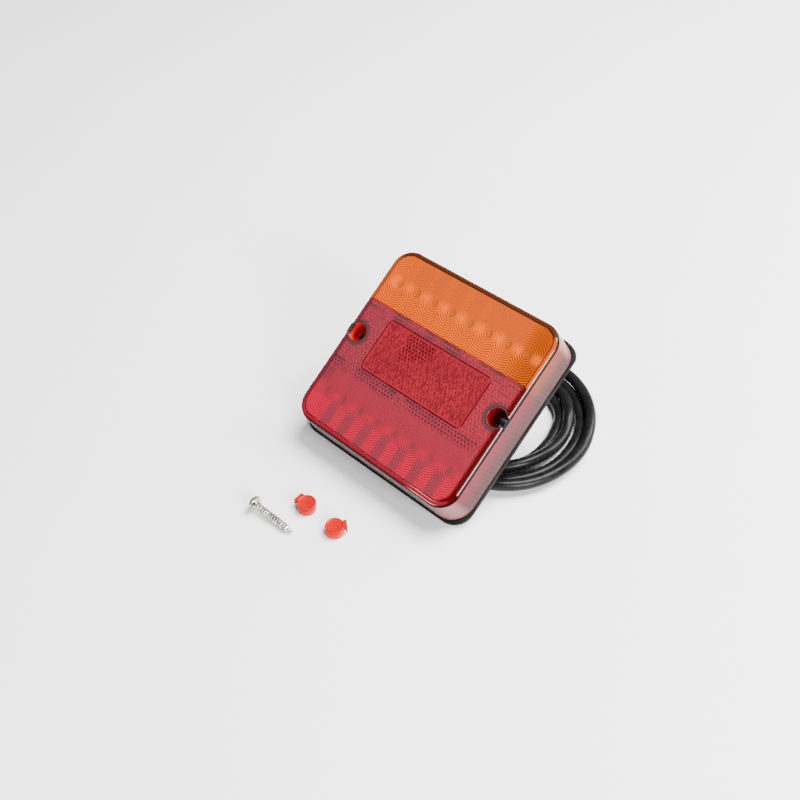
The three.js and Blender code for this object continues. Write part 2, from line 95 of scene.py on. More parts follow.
# ---- the cable's route (millimetres on the ground, round the coil's middle) ---------------------
CABLE_RADIUS = 3.0
CABLE_EXIT_Y = 7.0
EXIT_DEPTH = -22.6                 # where the cable leaves the grommet
RELIEF_END = -42.6
JACKET_START = -18.7
COIL_X, COIL_Y = 18.7, 35.1
LEAD_HEADING = math.radians(20.0)  # plan direction in which the lead lands, from +Y towards +X
LEAD_BEND = 26.75
LANDING_BEND = 22.5
LEAD_LEAVES = 22.0                 # plan angle at which the lead's bend becomes the first turn
TAIL_END_Y = 84.0
COIL_STEP = 12                     # degrees between the route's points on the coil
TAIL_ANGLE = -180                  # plan angle at which the last turn becomes the tail
# Plan angle in degrees to distance from the coil's middle, one row for each turn.
TURNS = (
    {20: 32.6, 3: 32.5, -13: 33.6, -23: 34.4, -35: 34.8, -48: 34.8, -60: 34.6, -80: 34.0,
     -110: 33.0, -140: 32.2, -180: 32.0, -215: 32.6, -240: 34.0},
    {120: 34.0, 105: 36.0, 90: 38.0, 75: 39.0, 61: 39.2, 41: 38.3, 31: 38.0, 14: 37.8, 5: 37.6,
     -7: 37.7, -17: 38.0, -25: 38.3, -48: 38.8, -60: 38.9, -80: 38.6, -110: 38.5, -140: 38.2,
     -180: 38.0, -215: 38.7, -240: 40.0},
    {120: 40.0, 105: 42.0, 90: 44.0, 75: 45.0, 61: 45.3, 43: 45.0, 33: 44.7, 15: 44.0, 5: 43.9,
     -6: 44.0, -14: 44.2, -22: 44.1, -29: 44.0, -48: 44.0, -60: 44.1, -80: 44.3, -110: 44.5,
     -140: 44.3, -180: 44.0, -215: 44.8, -240: 46.0},
    {120: 46.0, 105: 48.0, 90: 49.6, 75: 49.8, 61: 49.6, 45: 49.4, 39: 49.3, 30: 49.2, 20: 49.2,
     11: 49.3, 0: 49.3, -12: 49.4, -25: 49.5, -37: 49.4, -48: 49.2, -60: 48.9, -80: 48.9,
     -110: 49.4, -140: 50.0, -180: 50.0},
)
STACK_REACH = 6.05                 # two turns this near in plan lie on each other
TAIL_X = COIL_X - TURNS[-1][TAIL_ANGLE]


def on_exit(depth):
    """A point on the cable's straight stretch, on the ground."""
    cos, sin = math.cos(TILT), math.sin(TILT)
    return Vector((0, CABLE_EXIT_Y * cos - depth * sin, FACE_HEIGHT + CABLE_EXIT_Y * sin + depth * cos))


def lead_points():
    """From inside the grommet, straight out, then round and down onto the ground."""
    down = (on_exit(RELIEF_END) - on_exit(EXIT_DEPTH)).normalized()
    along = Vector((math.sin(LEAD_HEADING), math.cos(LEAD_HEADING), 0))
    turn = down.angle(along)
    aside = (along - down * math.cos(turn)).normalized()
    points = [on_exit(depth) for depth in (JACKET_START, EXIT_DEPTH, -26, -30, -34, -38)]
    for i in range(9):
        angle = turn * i / 8
        ahead, across = math.sin(angle), 1 - math.cos(angle)
        points.append(on_exit(RELIEF_END) + (down * ahead + aside * across) * LEAD_BEND)
    return points


def landing_circle(landing):
    """Middle of the bend that takes the lead from where it lands into the first turn."""
    right = Vector((math.cos(LEAD_HEADING), -math.sin(LEAD_HEADING), 0))
    return landing + right * LANDING_BEND


def circle_reach(middle, angle):
    """Distance from the coil's middle to that bend, in the direction of angle (radians)."""
    offset = Vector((middle.x - COIL_X, middle.y - COIL_Y))
    away = angle - math.atan2(offset.y, offset.x)
    half = LANDING_BEND ** 2 - (offset.length * math.sin(away)) ** 2
    return offset.length * math.cos(away) + math.sqrt(max(half, 0))


def smooth_table(table, degrees):
    """Cubic through a turn's rows."""
    rows = sorted(table.items())
    angles = [a for a, _ in rows]
    reach = [r for _, r in rows]
    slopes = []
    for i in range(len(rows)):
        low, high = max(i - 1, 0), min(i + 1, len(rows) - 1)
        slopes.append((reach[high] - reach[low]) / (angles[high] - angles[low]))
    i = min(max(int(np.searchsorted(angles, degrees)) - 1, 0), len(rows) - 2)
    span = angles[i + 1] - angles[i]
    t = min(max((degrees - angles[i]) / span, 0), 1)
    return (
        (2 * t ** 3 - 3 * t ** 2 + 1) * reach[i] + (t ** 3 - 2 * t ** 2 + t) * span * slopes[i]
        + (3 * t ** 2 - 2 * t ** 3) * reach[i + 1] + (t ** 3 - t ** 2) * span * slopes[i + 1]
    )


def turn_reach(turn, degrees, middle):
    """Distance from the coil's middle to a turn; the first one begins on the lead's bend."""
    if turn == 0 and degrees > LEAD_LEAVES:
        return circle_reach(middle, math.radians(degrees))
    return smooth_table(TURNS[turn], degrees)


def coil_point(turn, degrees, middle):
    """The second turn lies on the first one's shoulder, and the fourth on the third's."""
    reach = turn_reach(turn, degrees, middle)
    height = CABLE_RADIUS
    if turn in (1, 3):
        apart = reach - turn_reach(turn - 1, degrees, middle)
        height += math.sqrt(max(STACK_REACH ** 2 - apart ** 2, 0))
    angle = math.radians(degrees)
    return Vector((COIL_X + reach * math.cos(angle), COIL_Y + reach * math.sin(angle), height))


def cable_route():
    """Points on the cable's middle line: lead, coil and straight tail."""
    points = lead_points()
    landing = points[-1]
    middle = landing_circle(landing)
    # The first point of the coil is a little past the landing.
    degrees = math.degrees(math.atan2(landing.y - COIL_Y, landing.x - COIL_X)) - 8
    for turn, table in enumerate(TURNS):
        while degrees > min(table) + COIL_STEP / 2:
            points.append(coil_point(turn, degrees, middle))
            degrees -= COIL_STEP
        degrees += 360
    points.append(coil_point(len(TURNS) - 1, TAIL_ANGLE, middle))
    points += [Vector((TAIL_X, y, CABLE_RADIUS)) for y in np.linspace(COIL_Y + 8, TAIL_END_Y, 6)]
    return points


# ---- mesh and object helpers --------------------------------------------------------------------
def add_mesh(name, vertices, faces, matrix, sharp=35.0):
    """A new object whose mesh is already in the row's frame, in metres."""
    mesh = bpy.data.meshes.new(name)
    mesh.from_pydata([tuple(v) for v in vertices], [], [tuple(int(i) for i in f) for f in faces])
    mesh.transform(matrix)
    mesh.validate()
    mesh.shade_smooth()
    mesh.set_sharp_from_angle(angle=math.radians(sharp))
    return link(bpy.data.objects.new(name, mesh))


def finish_piece(piece, body, slot, material, *nodes):
    """Gives a piece its material, the body it rides on and the CAD nodes it replaces. slot is not used."""
    piece.data.materials.clear()
    piece.data.materials.append(material)
    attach(piece, body)
    if nodes:
        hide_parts(*nodes)
    return piece


def turned(profile, sides):
    """Turns [radius, height] pairs round z. A point on the axis becomes one vertex."""
    vertices, rings = [], []
    for radius, height in profile:
        if radius < 1e-6:
            rings.append([len(vertices)] * sides)
            vertices.append((0, 0, height))
            continue
        rings.append(list(range(len(vertices), len(vertices) + sides)))
        for i in range(sides):
            angle = 2 * math.pi * i / sides
            vertices.append((radius * math.cos(angle), radius * math.sin(angle), height))
    faces = []
    for low, high in zip(rings, rings[1:] + rings[:1]):
        for i in range(sides):
            j = (i + 1) % sides
            face = []
            for v in (low[i], low[j], high[j], high[i]):
                if v not in face:
                    face.append(v)
            if len(face) > 2:
                faces.append(face)
    return vertices, faces


def merge(*parts):
    """Joins (vertices, faces) lists into one."""
    vertices, faces = [], []
    for part_vertices, part_faces in parts:
        start = len(vertices)
        vertices.extend(part_vertices)
        faces.extend([[i + start for i in face] for face in part_faces])
    return vertices, faces


def moved(part, x=0.0, y=0.0):
    vertices, faces = part
    return [(x + a, y + b, c) for a, b, c in vertices], faces


def block(x0, x1, y0, y1, z0, z1):
    """A box between two corners."""
    vertices = [(x, y, z) for z in (z0, z1) for x, y in ((x0, y0), (x1, y0), (x1, y1), (x0, y1))]
    faces = [(3, 2, 1, 0), (4, 5, 6, 7), (0, 1, 5, 4), (1, 2, 6, 5), (2, 3, 7, 6), (3, 0, 4, 7)]
    return vertices, faces


def rod(radius, low, high, x, y=0.0, sides=64):
    """A cutting tool: a round rod along the lamp's z, with its axis at x, y."""
    profile = [(0, low), (radius, low), (radius, high), (0, high)]
    return (*moved(turned(profile, sides), x, y), LAMP)


def stitch(rings, count, closed=False):
    """Faces between rings of count vertices. closed joins the last ring to the first."""
    faces = []
    for ring in range(rings if closed else rings - 1):
        low, high = ring * count, (ring + 1) % rings * count
        for i in range(count):
            j = (i + 1) % count
            faces.append((low + i, low + j, high + j, high + i))
    return faces


def tube_faces(rings, sides):
    """Faces of a tube of rings, with its two flat ends."""
    ends = [tuple(reversed(range(sides))), tuple(range((rings - 1) * sides, rings * sides))]
    return stitch(rings, sides) + ends


def rounded_loop(core_x, core_y, per_corner, per_side):
    """Corner centres and outward normals round a rounded rectangle, to be offset along the normal."""
    loop = []
    corners = ((1, 1), (-1, 1), (-1, -1), (1, -1))
    for quarter, (sx, sy) in enumerate(corners):
        start = quarter * math.pi / 2
        for i in range(per_corner + 1):
            angle = start + math.pi / 2 * i / per_corner
            loop.append((sx * core_x, sy * core_y, math.cos(angle), math.sin(angle)))
        nx, ny = corners[(quarter + 1) % 4]
        angle = start + math.pi / 2
        for i in range(1, per_side):
            t = i / per_side
            loop.append((
                core_x * (sx * (1 - t) + nx * t), core_y * (sy * (1 - t) + ny * t),
                math.cos(angle), math.sin(angle),
            ))
    return loop


def sweep(loop, profile, radius=CORNER, closed=True, ripple=None):
    """Carries a profile of (offset, height) round a loop. ripple(step, index) adds to the offset.
    The amber end has its own draft."""
    vertices = []
    for index, (offset, height) in enumerate(profile):
        for step, (x, y, nx, ny) in enumerate(loop):
            reach = radius + offset + (ripple(step, index) if ripple else 0.0)
            upright = max(ny, 0.0) * height * (DRAFT - AMBER_DRAFT)
            vertices.append((x + nx * reach, y + ny * reach + upright, height))
    return vertices, stitch(len(profile), len(loop), closed)


def cut(piece, *tools):
    """Takes closed tools, given as (vertices, faces, matrix), away from a piece."""
    for part_vertices, part_faces, matrix in tools:
        tool = add_mesh("cutter", part_vertices, part_faces, matrix)
        modifier = piece.modifiers.new("cut", "BOOLEAN")
        modifier.operation = "DIFFERENCE"
        modifier.solver = "EXACT"
        modifier.object = tool
        graph = bpy.context.evaluated_depsgraph_get()
        mesh = bpy.data.meshes.new_from_object(piece.evaluated_get(graph))
        piece.modifiers.clear()
        old = piece.data
        piece.data = mesh
        mesh.name = old.name
        bpy.data.meshes.remove(old)
        bpy.data.objects.remove(tool)
    piece.data.set_sharp_from_angle(angle=math.radians(35))


def bevel(piece, width):
    modifier = piece.modifiers.new("edge", "BEVEL")
    modifier.width = width * MM
    modifier.segments = 2
    modifier.limit_method = "ANGLE"
    modifier.angle_limit = math.radians(40)
    modifier.harden_normals = False


def tube_mesh(points, radius, sides):
    """A closed tube along points, with flat ends."""
    vertices = []
    side = None
    for i, point in enumerate(points):
        ahead = (points[min(i + 1, len(points) - 1)] - points[max(i - 1, 0)]).normalized()
        if side is None:
            side = ahead.orthogonal().normalized()
        side = (side - ahead * side.dot(ahead)).normalized()
        up = ahead.cross(side)
        for k in range(sides):
            angle = 2 * math.pi * k / sides
            vertices.append(tuple(point + (side * math.cos(angle) + up * math.sin(angle)) * radius))
    return vertices, tube_faces(len(points), sides)


def smooth_path(points, step):
    """Points on one Catmull-Rom curve through the given ones, about step apart."""
    path = []
    for i in range(len(points) - 1):
        a, b = points[max(i - 1, 0)], points[i]
        c, d = points[i + 1], points[min(i + 2, len(points) - 1)]
        parts = max(1, round((c - b).length / step))
        for k in range(parts):
            t = k / parts
            path.append(0.5 * (
                2 * b + (c - a) * t + (2 * a - 5 * b + 4 * c - d) * t * t
                + (3 * b - a - 3 * c + d) * t ** 3
            ))
    path.append(points[-1])
    return path

# ---- material helpers ---------------------------------------------------------------------------
class Value:
    """A node's output that takes part in ordinary arithmetic."""

    def __init__(self, graph, socket):
        self.graph, self.socket = graph, socket

    def __add__(self, other):
        return self.graph.math("ADD", self, other)

    def __sub__(self, other):
        return self.graph.math("SUBTRACT", self, other)

    def __rsub__(self, other):
        return self.graph.math("SUBTRACT", other, self)

    def __mul__(self, other):
        return self.graph.math("MULTIPLY", self, other)

    def __truediv__(self, other):
        return self.graph.math("DIVIDE", self, other)

    def __abs__(self):
        return self.graph.math("ABSOLUTE", self)

    def band(self, low, high, out_low=0.0, out_high=1.0):
        """Goes smoothly from out_low to out_high as this goes from low to high."""
        made = self.graph.node("ShaderNodeMapRange", interpolation_type="SMOOTHSTEP", clamp=True)
        for socket, number in zip(made.inputs, (self, low, high, out_low, out_high)):
            self.graph.put(number, socket)
        return Value(self.graph, made.outputs[0])

    def uneven(self, low, high):
        """A roughness between low and high that follows this noise."""
        return self.band(0.3, 0.7, low, high)

    def fall(self, low, high, amount=1.0):
        """Goes smoothly from amount to nought as this goes from low to high."""
        return self.band(low, high, amount, 0.0)


class Graph:
    """Adds nodes to one material. Inputs are numbers, colours (red, green, blue) or Values."""

    def __init__(self, name, roughness=0.5, **settings):
        self.material = bpy.data.materials.new(name)
        self.material.use_nodes = True
        self.tree = self.material.node_tree
        self.shader = self.tree.nodes["Principled BSDF"]
        self.shader.inputs["Roughness"].default_value = roughness
        for key, value in settings.items():
            self.shader.inputs[key.replace("_", " ")].default_value = value

    def put(self, value, socket):
        if isinstance(value, Value):
            self.tree.links.new(value.socket, socket)
        elif isinstance(value, tuple):
            socket.default_value = (*value, 1)
        else:
            socket.default_value = value

    def node(self, kind, **settings):
        made = self.tree.nodes.new(kind)
        for key, value in settings.items():
            setattr(made, key, value)
        return made

    def math(self, operation, *values):
        made = self.node("ShaderNodeMath", operation=operation)
        for socket, value in zip(made.inputs, values):
            self.put(value, socket)
        return Value(self, made.outputs[0])

    def larger(self, first, second):
        return self.math("MAXIMUM", first, second)

    def length(self, across, along):
        return self.math("SQRT", across * across + along * along)

    def mix(self, factor, first, second):
        made = self.node("ShaderNodeMix", data_type="RGBA", clamp_factor=True)
        self.put(factor, made.inputs[0])
        self.put(first, made.inputs[6])
        self.put(second, made.inputs[7])
        return Value(self, made.outputs[2])

    def layers(self, colour, *coats):
        """Lays (amount, colour) coats over a colour, one after another."""
        for amount, coat in coats:
            colour = self.mix(amount, colour, coat)
        return colour

    def mapped(self, vector, **settings):
        made = self.node("ShaderNodeMapping")
        for key, value in settings.items():
            made.inputs[key].default_value = value
        self.tree.links.new(vector, made.inputs["Vector"])
        return Value(self, made.outputs[0])

    def place(self):
        """The point on the piece, in the row's frame, in millimetres."""
        coordinates = self.node("ShaderNodeTexCoord").outputs["Object"]
        return self.mapped(coordinates, Scale=(1000, 1000, 1000))

    def lamp_place(self):
        """The point on the piece, in the lamp's own frame, in millimetres."""
        coordinates = self.node("ShaderNodeTexCoord").outputs["Object"]
        home = Matrix.Rotation(-TILT, 3, "X") @ Vector((0, SHIFT_Y, FACE_HEIGHT))
        return self.mapped(coordinates, Scale=(1000, 1000, 1000), Rotation=(-TILT, 0, 0), Location=-home)

    def parts(self, vector):
        made = self.node("ShaderNodeSeparateXYZ")
        self.put(vector, made.inputs[0])
        return [Value(self, socket) for socket in made.outputs]

    def noise(self, vector, scale, detail=3.0, roughness=0.5):
        made = self.node("ShaderNodeTexNoise")
        self.put(vector, made.inputs["Vector"])
        made.inputs["Scale"].default_value = scale
        made.inputs["Detail"].default_value = detail
        made.inputs["Roughness"].default_value = roughness
        return Value(self, made.outputs[0])

    def cells(self, vector, scale):
        made = self.node("ShaderNodeTexVoronoi", feature="F1")
        self.put(vector, made.inputs["Vector"])
        made.inputs["Scale"].default_value = scale
        return Value(self, made.outputs["Distance"])

    def finish(self, colour, roughness, bump=None, strength=0.3, distance=0.05):
        """Links the colour, the roughness and, where given, a bump height. distance is in mm."""
        self.put(colour, self.shader.inputs["Base Color"])
        self.put(roughness, self.shader.inputs["Roughness"])
        if bump is not None:
            made = self.node("ShaderNodeBump")
            made.inputs["Strength"].default_value = strength
            made.inputs["Distance"].default_value = distance * MM
            self.put(bump, made.inputs["Height"])
            self.tree.links.new(made.outputs[0], self.shader.inputs["Normal"])
        return self.material


def moulded(name, light, dark, roughness, grain, strength=0.25, **settings):
    """Moulded plastic, rubber or paint: mottled colour, fine grain, and shinier worn patches."""
    graph = Graph(name, roughness, **settings)
    place = graph.place()
    cloud, fine = graph.noise(place, 0.09, 4.0), graph.noise(place, grain, 3.0, 0.6)
    colour = graph.layers(dark, (cloud.band(0.35, 0.68), light), (fine.band(0.62, 0.8, 0.0, 0.35), light))
    rough = graph.noise(place, 0.25, 2.0).uneven(roughness - 0.07, roughness + 0.08)
    return graph.finish(colour, rough, fine, strength)


# ---- floor and light ----------------------------------------------------------------------------
FLOOR_SIZE = 3.0
WORLD_STRENGTH = 0.25
# Each light's place, width and power.
LIGHTS = {
    "top_light": ((0.25, 0.5, 1.3), 0.9, 70.0),
    "right_light": ((1.15, -0.3, 0.6), 0.6, 36.0),
    "back_light": ((0.5, 1.2, 0.8), 0.7, 28.0),
}


def make_stage():
    corners = [(FLOOR_SIZE * x, FLOOR_SIZE * y, 0) for x, y in ((-1, -1), (1, -1), (1, 1), (-1, 1))]
    mesh = bpy.data.meshes.new("floor")
    mesh.from_pydata(corners, [], [(0, 1, 2, 3)])
    floor = link(bpy.data.objects.new("floor", mesh))
    graph = Graph("floor_white")
    colour = graph.mix(graph.noise(graph.place(), 0.004, 2.0), (0.86, 0.86, 0.86), (0.9, 0.9, 0.9))
    floor.data.materials.append(graph.finish(colour, 0.6))

    world = bpy.data.worlds.new("studio")
    world.use_nodes = True
    background = world.node_tree.nodes["Background"]
    background.inputs[0].default_value = (1.0, 1.0, 1.0, 1)
    background.inputs[1].default_value = WORLD_STRENGTH
    bpy.context.scene.world = world

    for name, (place, size, power) in LIGHTS.items():
        light = link(bpy.data.objects.new(name, bpy.data.lights.new(name, "AREA")))
        light.data.shape = "DISK"
        light.data.size = size
        light.data.energy = power
        light.location = place
        light.rotation_euler = (-Vector(place)).to_track_quat("-Z", "Y").to_euler()


make_stage()

# ---- materials ----------------------------------------------------------------------------------
LED_PITCH = 11.3
LED_AMBER_Y = 31.9
LED_RED_Y = -32.2
RING_PITCH = 1.15
LAST_COLUMN = 3.999                # just short of the fourth LED's far side
SPLIT_Y = 18.7
RED_RINGS_TOP = -20.6
DOT_PITCH = 2.0
REFLECTOR_X, REFLECTOR_Y = 31.9, 14.2
HOLE_X = 44.4
HOLES = (-HOLE_X, HOLE_X)          # where the two screws go through, across the lamp
WALL_BOTTOM = -17.8


def ring_parts(graph, x, y, row_y):
    """Offsets across and along from the nearest LED, distance to it, and its rings' dark flanks."""
    column = graph.larger(graph.math("MINIMUM", x / LED_PITCH, LAST_COLUMN), -4.0)
    across = x - (graph.math("FLOOR", column) + 0.5) * LED_PITCH
    along = y - row_y
    reach = graph.length(across, along)
    line = abs(graph.math("FRACT", reach / RING_PITCH) - 0.46).band(0.12, 0.46)
    return across, along, reach, line


def edge_parts(graph, x, y):
    """Distance in from the face's outline, and the outward direction across and along the face."""
    over = [graph.larger(abs(value) - CORE, 0.0) * graph.math("SIGN", value) for value in (x, y)]
    reach = graph.length(*over)
    return CORNER - reach, over[0] / reach, over[1] / reach


def dotted(graph, x, y, pitch):
    """Distance to the nearest dot of a staggered grid, in millimetres."""
    rise = pitch * math.sqrt(3)
    reaches = []
    for shift in (0.0, 0.5):
        u = graph.math("FRACT", x / pitch + shift) - 0.5
        v = graph.math("FRACT", y / rise + shift) - 0.5
        reaches.append(graph.length(u * pitch, v * rise))
    return graph.math("MINIMUM", *reaches)


def lens_amber_material():
    graph = Graph("amber_lens", 0.3, Specular_IOR_Level=0.2, Specular_Tint=(1.0, 0.4, 0.05, 1))
    place = graph.lamp_place()
    x, y, _ = graph.parts(place)
    across, along, reach, line = ring_parts(graph, x, y, LED_AMBER_Y)
    base = graph.mix(x.band(26, 44, 0.0, 0.75), (0.549, 0.0703, 0), (0.251, 0.0372, 0))
    deep = graph.mix(x.band(26, 44, 0.0, 0.85), (0.205, 0.0296, 0.0014), (0.0721, 0.0133, 0.0007))
    calm = graph.mix(line * 0.5, (0.362, 0.0519, 0.0056), (0.217, 0.0351, 0.0089))
    left = graph.larger(across.fall(-0.5, 4.6), x.band(0.0, 20.0))
    quiet = along.band(0.5, 5.0) * left * x.band(-34.8, -33.6) * x.fall(32.0, 37.0)
    # Painted highlights between the LEDs, and a painted bright patch on the first one.
    glow = abs(along).fall(0.4, 4.2) * abs(across).band(1.6, 4.6) * (1.0 - line * 0.65) * 0.85
    first = graph.length(x + (4.0 * LED_PITCH - 3.4), along)
    arcs = reach.band(1.1, 1.6) * reach.fall(2.0, 2.6) * across.band(-0.6, 0.8)
    square = graph.larger(abs(across), abs(along))
    centre = square.fall(1.0, 1.5) * graph.noise(place, 0.9).band(0.35, 0.6, 0.25, 0.75)
    border = y.fall(SPLIT_Y + 0.2, SPLIT_Y + 1.1) * x.band(-44.0, -26.0, 0.8, 0.2)
    cloud = graph.noise(place, 0.12)
    inset, toward_x, _ = edge_parts(graph, x, y)
    edge = inset.fall(2.6, 3.4, 0.6) * toward_x.band(-0.9, 0.0, 0.3, 1.0)
    colour = graph.layers(
        graph.mix(line, base, deep),
        (quiet * 0.9, calm),
        (glow * x.band(-44.0, -41.0), (0.695, 0.0924, 0)),
        (first.fall(2.2, 4.6, 0.6), (0.655, 0.0882, 0)),
        (arcs * 0.6, (0.145, 0.0354, 0.0068)),
        (centre, (0.174, 0.0604, 0.0146)),
        (border, (0.475, 0.0161, 0.0009)),
        (cloud.band(0.5, 0.78, 0.0, 0.3), (0.368, 0.0339, 0.0004)),
        (edge, (0.107, 0.025, 0.0056)),
    )
    return graph.finish(colour, cloud.uneven(0.26, 0.36))


def red_rings(graph, place, x, y, line, across, along):
    """The stop and tail end: rings, with painted shade in stripes left of each LED and painted highlights in
    stripes right of it.
    """
    below = along.fall(-5.0, -1.6)
    left = across.fall(-1.6, 1.6) * x.band(-34.6, -33.4)
    # Painted shade (dim) and painted highlight (bright) for the stripes below each LED.
    dim = graph.mix(line, (0.162, 0.0199, 0.0304), (0.104, 0.0127, 0.0202))
    bright = graph.mix(line, (0.389, 0.0004, 0.0232), (0.17, 0.0074, 0.0174))
    # Painted highlights between the LEDs, a little below their row.
    glow = abs(along + 0.8).fall(0.6, 2.8) * abs(across).band(2.0, 4.6) * 0.55
    oval = graph.length(across * 1.5, along)
    chip = oval.fall(1.2, 2.4, 0.9) * graph.noise(place, 0.7).band(0.3, 0.6, 0.5, 1.0)
    smoke = y.band(-31.0, -26.0) * y.fall(-22.0, -20.0) * x.fall(-45.0, -40.0, 0.6)
    return graph.layers(
        graph.mix(line * 0.7, (0.213, 0.0124, 0.0245), (0.135, 0.0113, 0.0204)),
        (along.band(2.0, 9.0, 0.0, 0.5), (0.179, 0.0157, 0.0264)),
        (below * left * 0.95, dim),
        (below * (1.0 - left) * 0.95, bright),
        (glow, (0.332, 0, 0.0178)),
        (chip, (0.1, 0.0185, 0.0246)),
        (smoke, (0.062, 0.0184, 0.0234)),
    )


def red_field(graph, place, x, y):
    """The dotted middle field, with dark seams by the reflector and a smoky ring at each hole."""
    speck, patch = graph.noise(place, 0.8, 3.0, 0.6), graph.noise(place, 0.07, 2.0)
    near = abs(y) - REFLECTOR_Y
    seam = near.band(0.2, 0.9) * near.fall(1.6, 2.8) * patch.band(0.38, 0.56) * x.band(12, 26, 0.9, 0.3)
    top_seam = y.band(16.6, 17.6) * patch.band(0.4, 0.55) * x.band(-36.0, -30.0)
    dots = dotted(graph, x, y, DOT_PITCH).fall(0.35, 0.85)
    where = graph.larger(y.fall(-14.6, -14.0) * patch.band(0.35, 0.5), 0.18)
    hole = graph.length(abs(x) - HOLE_X, y)
    return graph.layers(
        graph.mix(x.band(-10.0, 36.0), (0.186, 0.0185, 0.0282), (0.222, 0.0143, 0.0254)),
        (speck.band(0.42, 0.66, 0.0, 0.75), (0.0912, 0.0121, 0.0185)),
        (seam, (0.051, 0.0199, 0.0234)),
        (top_seam * 0.85, (0.0472, 0.0176, 0.0209)),
        (dots * where, (0.0424, 0.009, 0.0151)),
        (hole.fall(6.9, 7.5, 0.9), (0.0469, 0.0203, 0.0209)),
    )


def lens_red_material():
    graph = Graph("red_lens", 0.3, Specular_Tint=(1.0, 0.4, 0.45, 1))
    place = graph.lamp_place()
    x, y, _ = graph.parts(place)
    across, along, _, line = ring_parts(graph, x, y, LED_RED_Y)
    rings = red_rings(graph, place, x, y, line, across, along)
    cloud = graph.noise(place, 0.12)
    inset, toward_x, _ = edge_parts(graph, x, y)
    right = (inset + line * 0.7).fall(3.4, 4.4) * toward_x.band(0.2, 0.7) * y.band(16, 19, 1.0, 0.6)
    colour = graph.layers(
        red_field(graph, place, x, y),
        (y.fall(RED_RINGS_TOP - 0.2, RED_RINGS_TOP + 0.2), rings),
        (cloud.band(0.5, 0.8, 0.0, 0.3), (0.227, 0.0076, 0.0214)),
        (right, (0.0647, 0, 0)),
        (inset.fall(2.6, 3.3, 0.55) * toward_x.fall(0.2, 0.7), (0.0527, 0.0042, 0.0085)),
    )
    return graph.finish(colour, cloud.uneven(0.26, 0.36))


def reflector_material():
    graph = Graph("reflector_red", 0.24, Specular_Tint=(1.0, 0.4, 0.4, 1))
    place = graph.lamp_place()
    x, y, _ = graph.parts(place)
    # Fine cells, streaked toward one corner.
    slanted = graph.mapped(place.socket, Rotation=(0, 0, 0.6), Scale=(1.0, 0.38, 1.0))
    fine = graph.cells(slanted, 1.15)
    # A patch of cells left of the middle gets painted shade, as if its faces were turned away from the
    # light.
    patch = x.band(-20.0, -15.0) * x.fall(-3.0, 1.0) * (y - x * 0.5).band(4.0, 9.0)
    dots = dotted(graph, x, y, DOT_PITCH).fall(0.35, 0.95)
    edge = graph.math("MINIMUM", REFLECTOR_X - abs(x), REFLECTOR_Y - abs(y))
    colour = graph.layers(
        (0.189, 0.0105, 0.0178),
        (graph.noise(place, 0.07, 2.0).band(0.35, 0.65), (0.236, 0.0103, 0.0183)),
        (fine.band(0.3, 0.75, 0.0, 0.8), (0.0916, 0.0061, 0.0104)),
        (fine.fall(0.0, 0.25, 0.5), (0.365, 0.0115, 0.0239)),
        (dots * patch.band(0.0, 1.0, 0.22, 0.95), (0.0492, 0.0011, 0.0046)),
        (edge.fall(0.9, 1.4, 0.6), (0.21, 0.0089, 0.017)),
        (edge.fall(0.3, 0.6, 0.9), (0.0813, 0, 0.0037)),
    )
    return graph.finish(colour, graph.noise(place, 0.3, 2.0).uneven(0.18, 0.3))


def wall_material():
    """Clear plastic, pink or orange near the top where the lens glows through it, greyer below."""
    graph = Graph("clear_wall", 0.2, Specular_IOR_Level=0.08)
    place = graph.lamp_place()
    x, y, z = graph.parts(place)
    amber = y.band(SPLIT_Y - 2.0, SPLIT_Y + 2.0)
    _, toward_x, toward_y = edge_parts(graph, x, y)
    glow = graph.mix(amber, (0.135, 0.0158, 0.0242), (0.169, 0.0405, 0.0168))
    grey = graph.mix(graph.noise(place, 0.06, 2.0), (0.0374, 0.0152, 0.0158), (0.0631, 0.027, 0.0279))
    flute = graph.math("SINE", (x - y) * 2.7)
    streak = graph.noise(x - y, 0.35, 2.0)
    # Painted shade: the wall's near side is darker, fading out toward its right end.
    near_side_shade = toward_y.fall(-0.9, -0.5) * x.fall(32.0, 44.0, 0.7)
    colour = graph.layers(
        graph.mix(z.band(-14.5, -2.5), grey, glow),
        # Painted reflection: paler pink at the rounded corners.
        (abs(toward_x * toward_y).band(0.1, 0.45, 0.0, 0.6), (0.321, 0.143, 0.137)),
        (flute.band(-0.4, 0.9, 0.0, 0.18), (0.103, 0.0487, 0.0465)),
        (streak.band(0.54, 0.76, 0.0, 0.3), (0.18, 0.0038, 0.0189)),
        (near_side_shade, (0.0309, 0.011, 0.0098)),
        (z.fall(WALL_BOTTOM, WALL_BOTTOM + 0.6), (0.019, 0, 0)),
        (z.band(-2.0, -1.5), graph.mix(amber, (0, 0, 0), (0.0049, 0, 0))),
    )
    return graph.finish(colour, graph.noise(place, 0.2, 2.0).uneven(0.14, 0.26))


